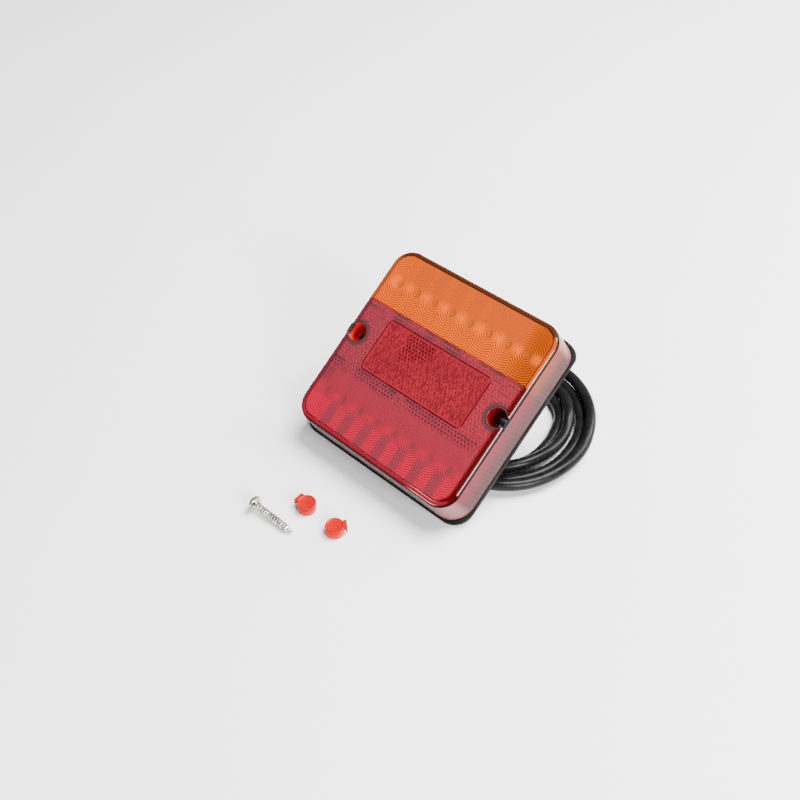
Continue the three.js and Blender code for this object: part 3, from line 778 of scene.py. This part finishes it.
def rim_material(name, **settings):
    """The wall's top: the lens's dark edge shows through its flat land and its bevel; a painted highlight
    runs along part of the near edge.
    """
    graph = Graph(name, 0.1, **settings)
    place = graph.lamp_place()
    x, y, z = graph.parts(place)
    amber = y.band(SPLIT_Y - 0.6, SPLIT_Y + 0.6)
    _, toward_x, toward_y = edge_parts(graph, x, y)
    far, near = toward_y.band(0.35, 0.75), toward_y.fall(-0.75, -0.35)
    right, left = toward_x.band(0.35, 0.75), toward_x.fall(-0.85, -0.4)
    teeth = graph.math("SINE", (x + y * 0.4) * 5.0).band(-0.6, 0.6)
    land = graph.layers(
        (0.0758, 0.0021, 0.0071),
        (right, graph.mix(amber, (0.0623, 0, 0.0008), (0.357, 0.0449, 0))),
        (left, graph.mix(amber, (0.0827, 0.0113, 0.0174), (0.169, 0.0374, 0.0119))),
        (near, (0.153, 0.0069, 0.0146)),
        (far, graph.mix(teeth, (0.034, 0.0073, 0.0038), (0.074, 0.0198, 0.0079))),
    )
    outer = graph.mix(amber, (0.0181, 0, 0), (0.0338, 0.0083, 0.0038))
    # Painted highlight: a pale pink line on the near edge's bevel, up to where the right corner begins.
    painted_highlight = near * x.band(24.0, 31.0) * x.fall(40.0, 45.0) * z.band(-0.5, -0.35) * z.fall(-0.2, -0.06)
    colour = graph.layers(
        outer,
        (graph.larger(far, left), (0.0302, 0.0121, 0.0075)),
        (z.band(-0.6, -0.1), land),
        (painted_highlight, (0.92, 0.316, 0.258)),
    )
    return graph.finish(colour, graph.noise(place, 0.2, 2.0).uneven(0.06, 0.12))


def metal_material(name, light, dark, roughness):
    graph = Graph(name, roughness, Metallic=1.0)
    place = graph.place()
    colour = graph.mix(graph.noise(place, 0.35, 4.0).band(0.35, 0.7), dark, light)
    rough = graph.noise(place, 1.4).band(0.3, 0.75, roughness - 0.08, roughness + 0.12)
    return graph.finish(colour, rough, graph.noise(place, 3.0, 2.0), 0.12)


def foam_material():
    """Open cells: black at each cell's middle, greyer on the walls between them."""
    graph = Graph("gasket_foam", 0.9)
    cells = graph.cells(graph.place(), 1.6)
    ramp = graph.node("ShaderNodeValToRGB")
    ramp.color_ramp.elements.new(0.5)
    stops = ((0.0, (0, 0, 0.0002, 1)), (0.5, (0.013, 0.0129, 0.014, 1)), (1.0, (0.0221, 0.0219, 0.0234, 1)))
    for element, (position, colour) in zip(ramp.color_ramp.elements, stops):
        element.position = position
        element.color = colour
    graph.put(cells, ramp.inputs[0])
    return graph.finish(Value(graph, ramp.outputs[0]), cells.band(0.1, 0.6, 0.82, 0.95), cells, 0.8, 0.25)


def cable_material():
    """Extruded jacket: black with a soft sheen, faint scuffs and dust."""
    graph = Graph("cable_jacket_black", 0.26, Specular_IOR_Level=0.1)
    place = graph.place()
    fine = graph.noise(place, 2.2, 4.0, 0.6)
    colour = graph.layers(
        (0.004, 0.0042, 0.004),
        (graph.noise(place, 0.12, 4.0).band(0.35, 0.7), (0.008, 0.0085, 0.008)),
        (fine.band(0.66, 0.8, 0.0, 0.2), (0.03, 0.031, 0.03)),
    )
    return graph.finish(colour, graph.noise(place, 0.4).uneven(0.22, 0.34), fine, 0.06)


def board_material():
    graph = Graph("board_green", 0.35, Coat_Weight=0.4, Coat_Roughness=0.15)
    place = graph.lamp_place()
    x, y, _ = graph.parts(place)
    track = abs(graph.math("SINE", y * 0.9)).fall(0.0, 0.25, 0.6)
    pads = dotted(graph, x, y, LED_PITCH / 2).fall(0.5, 0.7, 0.7)
    colour = graph.layers(
        (0.0002, 0.0316, 0.0109), (track, (0.0071, 0.0645, 0.0244)), (pads, (0.278, 0.228, 0.0741)),
    )
    return graph.finish(colour, graph.noise(place, 0.5, 2.0).uneven(0.28, 0.42))


def cap_material():
    """Red moulding that lets light in: paler low down where the ground shines through it."""
    graph = Graph("cap_red", 0.28, Specular_IOR_Level=0.2, Specular_Tint=(1.0, 0.4, 0.35, 1))
    place = graph.place()
    _, _, z = graph.parts(place)
    cloud = graph.noise(place, 0.3)
    colour = graph.layers(
        (0.556, 0, 0), (z.band(0.2, 4.4), (0.368, 0, 0)), (cloud.band(0.5, 0.8, 0.0, 0.5), (0.14, 0, 0)),
    )
    return graph.finish(colour, cloud.uneven(0.22, 0.36), graph.noise(place, 2.5, 2.0), 0.08)


def sleeve_material():
    """Red inside, with a smoky top edge, painted light on the left one and painted shade in the throat below
    its floor.
    """
    graph = Graph("sleeve_red", 0.3, Specular_IOR_Level=0.15)
    place = graph.lamp_place()
    x, _, z = graph.parts(place)
    cloud = graph.noise(place, 0.35)
    colour = graph.layers(
        (0.142, 0, 0.0038),
        # Painted light: the left sleeve is bright red, as if light from the ground came up through its hole.
        (x.fall(-1.0, 1.0), (0.541, 0, 0)),
        (z.band(-1.0, -0.5), (0.0469, 0.0203, 0.0209)),
        # Painted shade in the throat below the floor.
        (z.fall(-9.6, -8.9), (0.0059, 0, 0)),
        (cloud.band(0.5, 0.8, 0.0, 0.35), (0.0668, 0, 0.0009)),
    )
    return graph.finish(colour, cloud.uneven(0.24, 0.36))


AMBER = lens_amber_material()
RED = lens_red_material()
REFLECTOR = reflector_material()
WALL = wall_material()
RIM = rim_material("clear_rim", Specular_IOR_Level=0.0)
RIM_GLOSS = rim_material("clear_rim_polished", Coat_Weight=0.13, Coat_Roughness=0.08)
SLEEVE = sleeve_material()
CAP_RED = cap_material()
HOUSING = moulded(
    "housing_black", (0.016, 0.0145, 0.013), (0.009, 0.008, 0.0072), 0.55, 2.4, Specular_IOR_Level=0.06,
)
SEAL = moulded("seal_black", (0.01, 0.01, 0.011), (0.006, 0.006, 0.0065), 0.6, 3.0)
RUBBER = moulded("rubber_black", (0.012, 0.012, 0.0125), (0.007, 0.007, 0.0075), 0.5, 2.6)
FOAM = foam_material()
CABLE = cable_material()
PALE = moulded("pale_plastic", (0.846, 0.699, 0.452), (0.441, 0.375, 0.285), 0.5, 2.0)
BOARD = board_material()
LED_LENS = moulded("led_lens", (0.92, 0.92, 0.0907), (0.741, 0.537, 0.0163), 0.2, 3.0)
CHIP = moulded("chip_black", (0.0035, 0.0038, 0.005), (0, 0, 0.0002), 0.4, 4.0)
RESIN = moulded("potting_resin", (0.0066, 0.0068, 0.0083), (0.0016, 0.0018, 0.0025), 0.25, 0.8)
BOSS = moulded("boss_smoke", (0.0357, 0.0232, 0.0221), (0.0214, 0.0129, 0.0119), 0.35, 2.4)
NICKEL = metal_material("nickel_plate", (0.92, 0.87, 0.724), (0.202, 0.194, 0.174), 0.24)
COPPER = metal_material("bare_copper", (0.571, 0.11, 0.0072), (0.177, 0.0452, 0.0143), 0.3)
CORES = {
    name: moulded(f"core_{colour}", light, dark, 0.42, 3.0, 0.15)
    for name, colour, light, dark in (
        ("earth", "white", (0.92, 0.92, 0.689), (0.618, 0.525, 0.329)),
        ("tail", "brown", (0.0288, 0.0114, 0.0038), (0.0148, 0.0044, 0.0005)),
        ("stop", "red", (0.204, 0, 0.0055), (0.122, 0, 0.0039)),
        ("turn", "yellow", (0.672, 0.329, 0), (0.326, 0.166, 0)),
    )
}

# The looks of the CAD's pieces that stay, by the start of their names.
NODE_MATERIALS = {
    "lens_seal": SEAL,
    "light_baffle": PALE,
    "circuit_board": BOARD,
    "resistor": CHIP,
    "diode": CHIP,
    "led_": LED_LENS,
    "board_screw": NICKEL,
    "potting_resin": RESIN,
    **{f"inner_core_{name}": material for name, material in CORES.items()},
}
for node_name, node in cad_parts.items():
    for start, material in NODE_MATERIALS.items():
        if node_name.startswith(start):
            for material_slot in node.material_slots:
                material_slot.material = material

# ---- the cable ----------------------------------------------------------------------------------
CORE_RADIUS = 0.75
CORE_STRIP = 6.0                   # bare copper past the insulation
STRAND_RADIUS = 0.155
STRAND_LAY = 0.34                  # the outer strands' distance from the middle one
RELIEF_BORE = 3.05


def make_cable():
    route = [GROUND @ point for point in cable_route()]
    curve = bpy.data.curves.new("cable", "CURVE")
    curve.dimensions = "3D"
    curve.bevel_depth = CABLE_RADIUS * MM
    curve.bevel_resolution = 5
    curve.resolution_u = 5
    curve.use_fill_caps = True
    spline = curve.splines.new("BEZIER")
    spline.bezier_points.add(len(route) - 1)
    for i, point in enumerate(route):
        before, after = route[max(i - 1, 0)], route[min(i + 1, len(route) - 1)]
        heading = (after - before).normalized()
        knot = spline.bezier_points[i]
        knot.co = point
        knot.handle_left = point - heading * ((point - before).length / 3)
        knot.handle_right = point + heading * ((after - point).length / 3)
    cable = link(bpy.data.objects.new("cable", curve))
    curve.materials.append(CABLE)
    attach(cable, "lamp")
    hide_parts("cable_lead", "cable_coil", "cable_tail")
    return cable


def core_route(index):
    """Out of the jacket's end, down to the ground and apart."""
    side = index - 1.5
    up = 1 if index % 2 else -1
    # Distance past the jacket's end, sideways spread, and height.
    steps = (
        (-1.5, 0.9, CABLE_RADIUS + up * 0.8), (0.3, 1.2, CABLE_RADIUS + up),
        (3.3, 1.5, 3.4 if up > 0 else 1.7), (8.3, 2.8, CORE_RADIUS + 0.1), (14.3, 4.2, CORE_RADIUS + 0.1),
    )
    return [Vector((TAIL_X + side * spread, TAIL_END_Y + ahead, z)) for ahead, spread, z in steps]


def strand_points(end, heading, index):
    """One strand of a core, twisted round the middle one and opening toward its end."""
    up = Vector((0, 0, 1))
    aside = heading.cross(up).normalized()
    lay = 0.0 if index == 6 else STRAND_LAY
    points = []
    for i in range(17):
        t = i / 16
        angle = index * math.pi / 3 + t * 3.2
        offset = aside * math.cos(angle) + up * math.sin(angle)
        points.append(end + heading * (CORE_STRIP * t - 0.4) + offset * lay * (1 + 0.25 * t))
    return points


def make_cores():
    """Four insulated cores fan out of the jacket; seven twisted strands show at each end."""
    made = []
    for index, (name, insulation) in enumerate(CORES.items()):
        route = smooth_path(core_route(index), 0.6)
        heading = (route[-1] - route[-2]).normalized()
        core = add_mesh(f"core_{name}_insulation", *tube_mesh(route, CORE_RADIUS, 16), GROUND)
        finish_piece(core, "lamp", f"core_{name}", insulation, f"core_{name}")
        strands = [tube_mesh(strand_points(route[-1], heading, k), STRAND_RADIUS, 8) for k in range(7)]
        end = add_mesh(f"core_{name}_strands", *merge(*strands), GROUND)
        finish_piece(end, "lamp", "copper", COPPER, f"core_end_{name}")
        made += [core, end]
    return made


def make_strain_relief():
    """A tapered rubber sleeve with a flange and nine ribs, slotted between them."""
    profile = [(RELIEF_BORE, RELIEF_END), (3.75, RELIEF_END), (4.0, RELIEF_END + 0.3)]
    ribs = 9
    length = EXIT_DEPTH - RELIEF_END
    pitch = (length - 2.2) / ribs
    for i in range(ribs):
        low = RELIEF_END + 0.6 + pitch * i
        high = low + pitch
        radius = 4.0 + 1.6 * (low - RELIEF_END) / length
        groove = radius - 0.75
        profile += [
            (radius - 0.12, low), (radius, low + 0.15), (radius, low + 0.85), (radius - 0.12, low + 1.0),
            (groove, low + 1.05), (groove, high - 0.05),
        ]
    flange = [(5.6, EXIT_DEPTH - 1.5), (5.6, EXIT_DEPTH - 0.2), (5.4, EXIT_DEPTH), (RELIEF_BORE, EXIT_DEPTH)]
    profile += flange
    relief = add_mesh("strain_relief_sleeve", *moved(turned(profile, 48), 0, CABLE_EXIT_Y), LAMP)
    return finish_piece(relief, "lamp", "black_rubber", RUBBER, "strain_relief")


def make_grommet():
    """A rubber ring gripped by the back plate, with a lip on each side of it."""
    profile = [
        (3.1, -22.3), (6.1, -22.3), (6.9, -22.1), (7.4, -21.5), (7.5, -20.8), (7.5, -20.35),
        (4.5, -20.3), (4.5, -17.2), (6.0, -17.2), (5.7, -16.2), (5.2, -15.9), (3.1, -15.9),
    ]
    grommet = add_mesh("grommet_ring", *moved(turned(profile, 56), 0, CABLE_EXIT_Y), LAMP)
    finish_piece(grommet, "lamp", "black_rubber", RUBBER, "cable_grommet")


cable = make_cable()
cores = make_cores()
relief = make_strain_relief()
make_grommet()

# ---- lens plates and reflector ------------------------------------------------------------------
GRID = 0.25
LENS_INSET = 2.6
LENS_HALF = FACE_HALF - LENS_INSET
LENS_CORNER = CORNER - LENS_INSET
LENS_TOP = -0.2
LENS_BOTTOM = -2.6
SPLIT_GAP = 0.15                   # from the amber and red plates' joint to either plate
REFLECTOR_TOP, REFLECTOR_BOTTOM = -0.32, -1.4
REFLECTOR_CORNER = 3.0
REFLECTOR_BORDER = 1.1
POCKET_GAP = 0.3                   # round the reflector, in the red plate
SLEEVE_ROOM = 5.7                  # radius of the red plate's openings for the sleeves
RING_CREST = 0.78                  # part of a ring's pitch that rises
RING_HEIGHT = 0.17


def rounded_distance(x, y, half_x, half_y, radius):
    out_x, out_y = np.abs(x) - (half_x - radius), np.abs(y) - (half_y - radius)
    outside = np.hypot(np.maximum(out_x, 0), np.maximum(out_y, 0))
    return outside + np.minimum(np.maximum(out_x, out_y), 0) - radius


def rim_loops(quads, count):
    """Loops of grid points round a region of squares, from the sides that only one square has."""
    starts, ends = quads.ravel(), np.roll(quads, -1, axis=1).ravel()
    forward = starts.astype(np.int64) * count + ends
    edge = ~np.isin(forward, ends.astype(np.int64) * count + starts)
    following = dict(zip(starts[edge].tolist(), ends[edge].tolist()))
    loops = []
    while following:
        first, current = next(iter(following.items()))
        loop = [first]
        del following[first]
        while current != first:
            loop.append(current)
            current = following.pop(current)
        loops.append(loop)
    return loops


def plate_from_field(low, high, distance, relief, top, bottom):
    """A closed plate over the region where distance(x, y) is negative; its top follows relief."""
    xs = np.arange(low[0], high[0] + GRID, GRID)
    ys = np.arange(low[1], high[1] + GRID, GRID)
    x, y = (a.copy() for a in np.meshgrid(xs, ys, indexing="ij"))
    inside = distance(x, y) < 0
    keep = inside[:-1, :-1] | inside[1:, :-1] | inside[1:, 1:] | inside[:-1, 1:]
    # Grid points beyond the outline are drawn back onto it.
    for _ in range(3):
        away = np.maximum(distance(x, y), 0)
        h = 1e-3
        slope_x = (distance(x + h, y) - distance(x - h, y)) / (2 * h)
        slope_y = (distance(x, y + h) - distance(x, y - h)) / (2 * h)
        x -= away * slope_x
        y -= away * slope_y
    margin = np.clip(-distance(x, y) / 0.5, 0, 1)
    z = top + relief(x, y) * margin
    index = np.arange(x.size).reshape(x.shape)
    quads = np.stack([index[:-1, :-1], index[1:, :-1], index[1:, 1:], index[:-1, 1:]], -1)[keep]
    used = np.unique(quads)
    renumber = np.full(x.size, -1)
    renumber[used] = np.arange(len(used))
    vertices = np.stack([x.ravel()[used], y.ravel()[used], z.ravel()[used]], 1).tolist()
    faces = renumber[quads].tolist()
    # The edge wall and the flat underside.
    flat, first = [], len(vertices)
    for loop in rim_loops(quads, x.size):
        rim = [int(renumber[i]) for i in loop]
        start, count = len(vertices), len(rim)
        vertices.extend([vertices[i][0], vertices[i][1], bottom] for i in rim)
        for i in range(count):
            j = (i + 1) % count
            faces.append([rim[j], rim[i], start + i, start + j])
        flat.append([Vector((*vertices[start + i][:2], 0)) for i in range(count)])
    faces.extend([first + i for i in triangle] for triangle in tessellate_polygon(flat))
    return vertices, faces


def ring_relief(x, y, row_y):
    """Saw-toothed rings round each LED's middle, where a small square stands instead."""
    column = np.floor(np.clip(x / LED_PITCH, -4, LAST_COLUMN))
    across = x - (column + 0.5) * LED_PITCH
    reach = np.hypot(across, y - row_y)
    phase = (reach / RING_PITCH) % 1.0
    tooth = np.where(phase < RING_CREST, phase / RING_CREST, (1 - phase) / (1 - RING_CREST))
    square = np.maximum(np.abs(across), np.abs(y - row_y))
    return np.where(reach < RING_PITCH, 0.12 * np.clip(1.3 - square, 0, 1), RING_HEIGHT * tooth)


def nearest_dot(x, y):
    """Offsets across and along from the nearest dot of the staggered grid."""
    rise = DOT_PITCH * math.sqrt(3)
    near = [
        (((x / DOT_PITCH + shift) % 1.0 - 0.5) * DOT_PITCH, ((y / rise + shift) % 1.0 - 0.5) * rise)
        for shift in (0.0, 0.5)
    ]
    second = np.hypot(*near[1]) < np.hypot(*near[0])
    return [np.where(second, other, one) for one, other in zip(*near)]


def lens_distance(x, y):
    return rounded_distance(x, y, LENS_HALF, LENS_HALF, LENS_CORNER)


def amber_distance(x, y):
    return np.maximum(lens_distance(x, y), SPLIT_Y + SPLIT_GAP - y)


def red_distance(x, y):
    distance = np.maximum(lens_distance(x, y), y - SPLIT_Y + SPLIT_GAP)
    for hole_x in HOLES:
        distance = np.maximum(distance, SLEEVE_ROOM - np.hypot(x - hole_x, y))
    return np.maximum(distance, POCKET_GAP - reflector_distance(x, y))


def amber_relief(x, y):
    return ring_relief(x, y, LED_AMBER_Y)


def red_relief(x, y):
    dots = 0.1 - 0.14 * np.clip(1 - (np.hypot(*nearest_dot(x, y)) / 0.8) ** 2, 0, 1)
    return np.where(y < RED_RINGS_TOP, ring_relief(x, y, LED_RED_Y), dots)


def reflector_distance(x, y):
    return rounded_distance(x, y, REFLECTOR_X, REFLECTOR_Y, REFLECTOR_CORNER)


THIRD_TURN = 2 * math.pi / 3


def reflector_relief(x, y):
    """A raised border round hexagonal cells, each a shallow three-sided pyramid."""
    u, v = nearest_dot(x, y)
    slopes = [u * math.cos(a) + v * math.sin(a) for a in (0.5, 0.5 + THIRD_TURN, 0.5 + 2 * THIRD_TURN)]
    cell = 0.12 - 0.16 * np.maximum.reduce(slopes)
    return np.where(reflector_distance(x, y) > -REFLECTOR_BORDER, 0.16, cell)


LENS_SPAN = LENS_HALF + GRID
for name, low, high, distance, relief, material, slot, node in (
    ("lens_amber_rings", (-LENS_SPAN, SPLIT_Y - GRID), (LENS_SPAN, LENS_SPAN), amber_distance,
     amber_relief, AMBER, "amber_lens", "lens_amber"),
    ("lens_red_rings", (-LENS_SPAN, -LENS_SPAN), (LENS_SPAN, SPLIT_Y + GRID), red_distance,
     red_relief, RED, "red_lens", "lens_red"),
):
    vertices, faces = plate_from_field(low, high, distance, relief, LENS_TOP, LENS_BOTTOM)
    finish_piece(add_mesh(name, vertices, faces, LAMP, 60), "lamp", slot, material, node)
vertices, faces = plate_from_field(
    (-REFLECTOR_X - GRID, -REFLECTOR_Y - GRID), (REFLECTOR_X + GRID, REFLECTOR_Y + GRID),
    reflector_distance, reflector_relief, REFLECTOR_TOP, REFLECTOR_BOTTOM,
)
finish_piece(
    add_mesh("reflector_prisms", vertices, faces, LAMP, 12), "lamp", "reflector_red", REFLECTOR,
    "reflex_reflector",
)

# ---- side wall, housing, seal and gasket --------------------------------------------------------
WALL_THICKNESS = 2.3
RIM_DEPTH = 0.95
FLUTE_STEPS = 4                    # outline points for each flute
FLUTE_DEPTH = 0.16
NOTCH_HALF = 2.7
NOTCH_DEPTH = 3.2


def outset(depth, inset=0.0):
    """Offset from the face's outline at a depth below the face, drawn in by an inset."""
    return DRAFT * depth - inset


def arc(middle, radius, start, end, steps):
    """Profile points (offset, height) along an arc, in degrees."""
    angles = [math.radians(start + (end - start) * i / steps) for i in range(steps + 1)]
    return [(middle[0] + radius * math.cos(a), middle[1] + radius * math.sin(a)) for a in angles]


def notch_tools():
    """Blocks that open the wall and the sleeves outward, level with the screw holes."""
    tools = []
    for side in (-1, 1):
        x0, x1 = sorted((side * (HOLE_X + 1.5), side * (HOLE_X + 17.5)))
        tools.append((*block(x0, x1, -NOTCH_HALF, NOTCH_HALF, -NOTCH_DEPTH, 1), LAMP))
    return tools


def make_wall():
    """Rounded outside edge on top; vertical flutes down the inside face."""
    loop = rounded_loop(CORE, CORE, 48, 260)
    inner = [(outset(depth, WALL_THICKNESS), -depth) for depth in (2.9, 6.0, 10.0, 17.2)]
    profile = [
        (outset(17.8, WALL_THICKNESS - 0.2), WALL_BOTTOM), (outset(17.8, 0.15), WALL_BOTTOM),
        *[(outset(depth), -depth) for depth in (17.6, 12.0, 8.0, 4.0, 2.0)],
        (0.2, -1.5), (0.0, -1.15), (-0.2, -RIM_DEPTH), (outset(RIM_DEPTH, WALL_THICKNESS), -RIM_DEPTH),
        *inner,
    ]
    first_inner = len(profile) - len(inner)

    def flute(step, index):
        wave = math.cos(2 * math.pi * step / FLUTE_STEPS)
        return 0.5 * FLUTE_DEPTH * wave if index >= first_inner else 0.0

    wall = add_mesh("side_wall_clear", *sweep(loop, profile, ripple=flute), LAMP, 50)
    bevelled = [
        (outset(RIM_DEPTH, WALL_THICKNESS), -RIM_DEPTH), (-0.2, -RIM_DEPTH), (-0.32, -0.66), (-0.48, -0.42),
        (-0.92, -0.05), (-1.3, 0.0), (-2.1, -0.02), (-2.3, -0.25),
    ]
    rim = add_mesh("side_wall_rim", *sweep(rounded_loop(CORE, CORE, 48, 60), bevelled), LAMP, 30)
    rooms = [rod(SLEEVE_ROOM, -16, 1, hole_x) for hole_x in HOLES]
    cut(wall, *rooms, *notch_tools())
    cut(rim, *rooms, *notch_tools())
    finish_piece(rim, "lamp", "clear_wall", RIM)
    rim.data.materials.append(RIM_GLOSS)
    # The right edge shines, away from its corners.
    home = LAMP.inverted()
    for polygon in rim.data.polygons:
        middle = home @ polygon.center
        polished = middle.x > CORE + 2 and -CORE < middle.y < CORE + 6 and middle.z > -0.9
        polygon.material_index = 1 if polished else 0
    finish_piece(wall, "lamp", "clear_wall", WALL, "side_wall")


def make_housing():
    """Black base: squarer rim and back plate, an upstand inside the wall, and two screw bosses."""
    rim_top = -18.1
    rim_out, bottom = outset(-rim_top, -FLANGE), outset(DEPTH, -FLANGE)
    profile = [
        *arc((bottom - 0.6, -19.4), 0.6, -90, 0, 5), (rim_out, -18.4), (rim_out - 0.25, rim_top),
        (rim_out - 3.2, rim_top), (rim_out - 3.6, -17.6),
    ]
    half = FACE_HALF - BASE_CORNER
    loop = rounded_loop(half, half, 24, 30)
    vertices, faces = sweep(loop, profile, radius=BASE_CORNER, closed=False)
    count = len(loop)
    last = (len(profile) - 1) * count
    faces.append(list(range(count)))
    faces.append(list(reversed(range(last, last + count))))
    housing = add_mesh("housing_base", vertices, faces, LAMP)
    cut(housing, *[rod(3.9, -21, -10, hole_x) for hole_x in HOLES], rod(4.8, -21, -10, 0, CABLE_EXIT_Y))
    finish_piece(housing, "lamp", "black_plastic", HOUSING, "rear_housing")
    profile = [
        (outset(17.5, 4.4), -17.5), (outset(17.5, 2.6), -17.5), (outset(11, 2.6), -11.2),
        (outset(11, 2.8), -11.0), (outset(11, 4.2), -11.0), (outset(11, 4.4), -11.2),
    ]
    upstand = add_mesh("housing_upstand", *sweep(rounded_loop(CORE, CORE, 24, 30), profile), LAMP)
    cut(upstand, *[rod(6.6, -18, -10, hole_x) for hole_x in HOLES])
    finish_piece(upstand, "lamp", "black_plastic", HOUSING)

    # The bosses stop short of the wall.
    inner, outer, low, high = 5.7, 6.7, -17.4, -2.9
    boss = turned([(inner, low), (outer, low), (outer, high), (inner, high)], 64)
    for name, side in (("left", -1), ("right", 1)):
        ring = add_mesh(f"screw_boss_{name}", *moved(boss, side * HOLE_X), LAMP)
        x0, x1 = sorted((side * 47, side * 60))
        cut(ring, (*block(x0, x1, -9, 9, -30, 3), LAMP))
        finish_piece(ring, "lamp", "black_plastic", BOSS)


def make_back_panel():
    """A raised waffle of ribs on the housing's back, clear of the cable and the gasket."""
    half_width, reach = 0.6, 43.0
    bottom, top = -20.75, -19.95
    for name, places in (("across", (-34, -20, 22, 34)), ("along", (-34, -20, 20, 34))):
        bars = []
        for place in places:
            spans = [(-reach, reach), (place - half_width, place + half_width)]
            if name == "along":
                spans.reverse()
            bars.append(block(*spans[0], *spans[1], bottom, top))
        ribs = add_mesh(f"housing_ribs_{name}", *merge(*bars), LAMP)
        bevel(ribs, 0.2)
        finish_piece(ribs, "lamp", "black_plastic", HOUSING)


def make_gasket():
    """A ring of soft foam on the housing's back."""
    loop = rounded_loop(CORE, CORE, 16, 40)
    back = -20.3
    outer, inner = outset(DEPTH, 3.3), outset(DEPTH, 8.3)
    profile = [
        *arc((outer - 0.4, back - 1.1), 0.4, -90, 0, 3), (outer, back - 0.35), (outer - 0.35, back),
        (inner + 0.35, back), (inner, back - 0.35), *arc((inner + 0.4, back - 1.1), 0.4, 180, 270, 3),
    ]
    gasket = add_mesh("gasket_foam_ring", *sweep(loop, profile), LAMP)
    cut(gasket, *[rod(4.2, -24, -18, hole_x, sides=48) for hole_x in HOLES])
    finish_piece(gasket, "lamp", "foam", FOAM, "mounting_gasket")


def make_sleeve(name, x):
    """Screw tube with a rounded mouth, a floor with a countersunk hole, and a tail to the back."""
    profile = [
        (2.6, -19.7), (3.6, -19.7), (3.6, -9.7), (5.5, -9.7), (5.6, -9.6), (5.6, -0.35), (5.5, -0.2),
        (5.0, -0.2), (4.8, -0.4), (4.75, -8.1), (4.6, -8.4), (4.3, -8.5), (3.2, -8.5), (2.6, -9.1),
    ]
    sleeve = add_mesh(f"{name}_tube", *moved(turned(profile, 72), x), LAMP)
    cut(sleeve, *notch_tools())
    side = math.copysign(1, x)
    x0, x1 = sorted((side * 50.7, side * 49.25))
    step = block(x0, x1, -NOTCH_HALF, NOTCH_HALF, -NOTCH_DEPTH, -1.0)
    finish_piece(add_mesh(f"{name}_notch_step", *step, LAMP), "lamp", "clear_wall", BOSS)
    finish_piece(sleeve, "lamp", "red_lens", SLEEVE, name)


make_wall()
make_housing()
make_back_panel()
make_gasket()
make_sleeve("screw_sleeve_left", -HOLE_X)
make_sleeve("screw_sleeve_right", HOLE_X)

# ---- loose screw and caps -----------------------------------------------------------------------
SCREW_X, SCREW_TURN = -28.3, math.radians(2.9)
SCREW_LENGTH, SCREW_STEP = 24.0, 0.15
THREAD_CREST, THREAD_ROOT, THREAD_PITCH, THREAD_POINT = 2.0, 1.45, 1.5, 3.2


def thread_radius(z, angle):
    """Radius of a single-start thread, fading to a point at the tip."""
    phase = (z / THREAD_PITCH - angle / (2 * math.pi)) % 1.0
    crest = max(0.0, 1 - abs(phase - 0.5) / 0.3)
    radius = THREAD_ROOT + (THREAD_CREST - THREAD_ROOT) * crest
    tip = min(1.0, (z + SCREW_LENGTH) / THREAD_POINT)
    neck = min(1.0, max(0.0, (-0.6 - z) / 1.2))
    return (THREAD_ROOT + (radius - THREAD_ROOT) * neck) * (0.08 + 0.92 * tip ** 0.8)


def make_screw():
    """Lies on the ground on its thread and its head, whose top has a cross recess."""
    sides = 40
    levels = [-SCREW_LENGTH + SCREW_STEP * i for i in range(int(SCREW_LENGTH / SCREW_STEP) + 1)]
    head = [
        (2.0, 0.0), (SCREW_HEAD - 0.15, 0.0), (SCREW_HEAD, 0.15), (SCREW_HEAD, 0.75), (3.75, 1.3),
        (3.4, 1.85), (2.8, 2.35), (2.0, 2.65), (1.0, 2.77),
    ]
    rings = [(None, z) for z in levels] + head
    vertices = []
    for head_radius, z in rings:
        for k in range(sides):
            angle = 2 * math.pi * k / sides
            radius = head_radius or thread_radius(z, angle)
            vertices.append((radius * math.cos(angle), radius * math.sin(angle), z))
    lean = math.asin((SCREW_HEAD - THREAD_CREST) / (SCREW_LENGTH - THREAD_POINT))
    place = (
        GROUND @ Matrix.Translation((SCREW_X, SCREW_Y, SCREW_HEAD * math.cos(lean) + 0.05))
        @ Matrix.Rotation(SCREW_TURN, 4, "Z") @ Matrix.Rotation(-math.pi / 2 + lean, 4, "Y")
    )
    screw = add_mesh("mounting_screw_threaded", vertices, tube_faces(len(rings), sides), place, 50)
    slots = block(-2.1, 2.1, -0.6, 0.6, 1.45, 4), block(-0.6, 0.6, -2.1, 2.1, 1.45, 4)
    cut(screw, *[(*slot, place) for slot in slots])
    finish_piece(screw, "mounting_screw", "nickel", NICKEL, "mounting_screw")


def make_cap(name, x, y, degrees):
    """A cup lying open side down, with a raised rim round its top and a folded pull tab."""
    place = GROUND @ Matrix.Translation((x, y, 0)) @ Matrix.Rotation(math.radians(degrees), 4, "Z")
    profile = [
        (3.9, 0.0), (4.45, 0.0), (4.6, 0.25), (4.65, 0.6), (4.65, 3.6), (4.5, 3.75), (4.5, 4.0),
        (4.65, 4.15), (4.65, 4.65), (4.55, 4.9), (4.3, 5.0), (3.95, 4.98), (3.75, 4.82), (3.3, 4.75),
        (0, 4.72), (0, 3.8), (3.7, 3.8), (3.9, 3.6),
    ]
    cap = add_mesh(f"{name}_cup", *turned(profile, 64), place, 40)
    finish_piece(cap, name, "cap_red", CAP_RED, name)
    tab = add_mesh(f"{name}_tab", *merge(
        block(4.2, 5.9, -2.6, 2.6, 3.85, 4.95), block(5.05, 5.9, -2.6, 2.6, 2.0, 4.0),
    ), place)
    bevel(tab, 0.15)
    finish_piece(tab, name, "cap_red", CAP_RED)


make_screw()
make_cap("screw_cap_left", -10.6, -71.3, 182)
make_cap("screw_cap_right", 9.1, -72.1, 51)
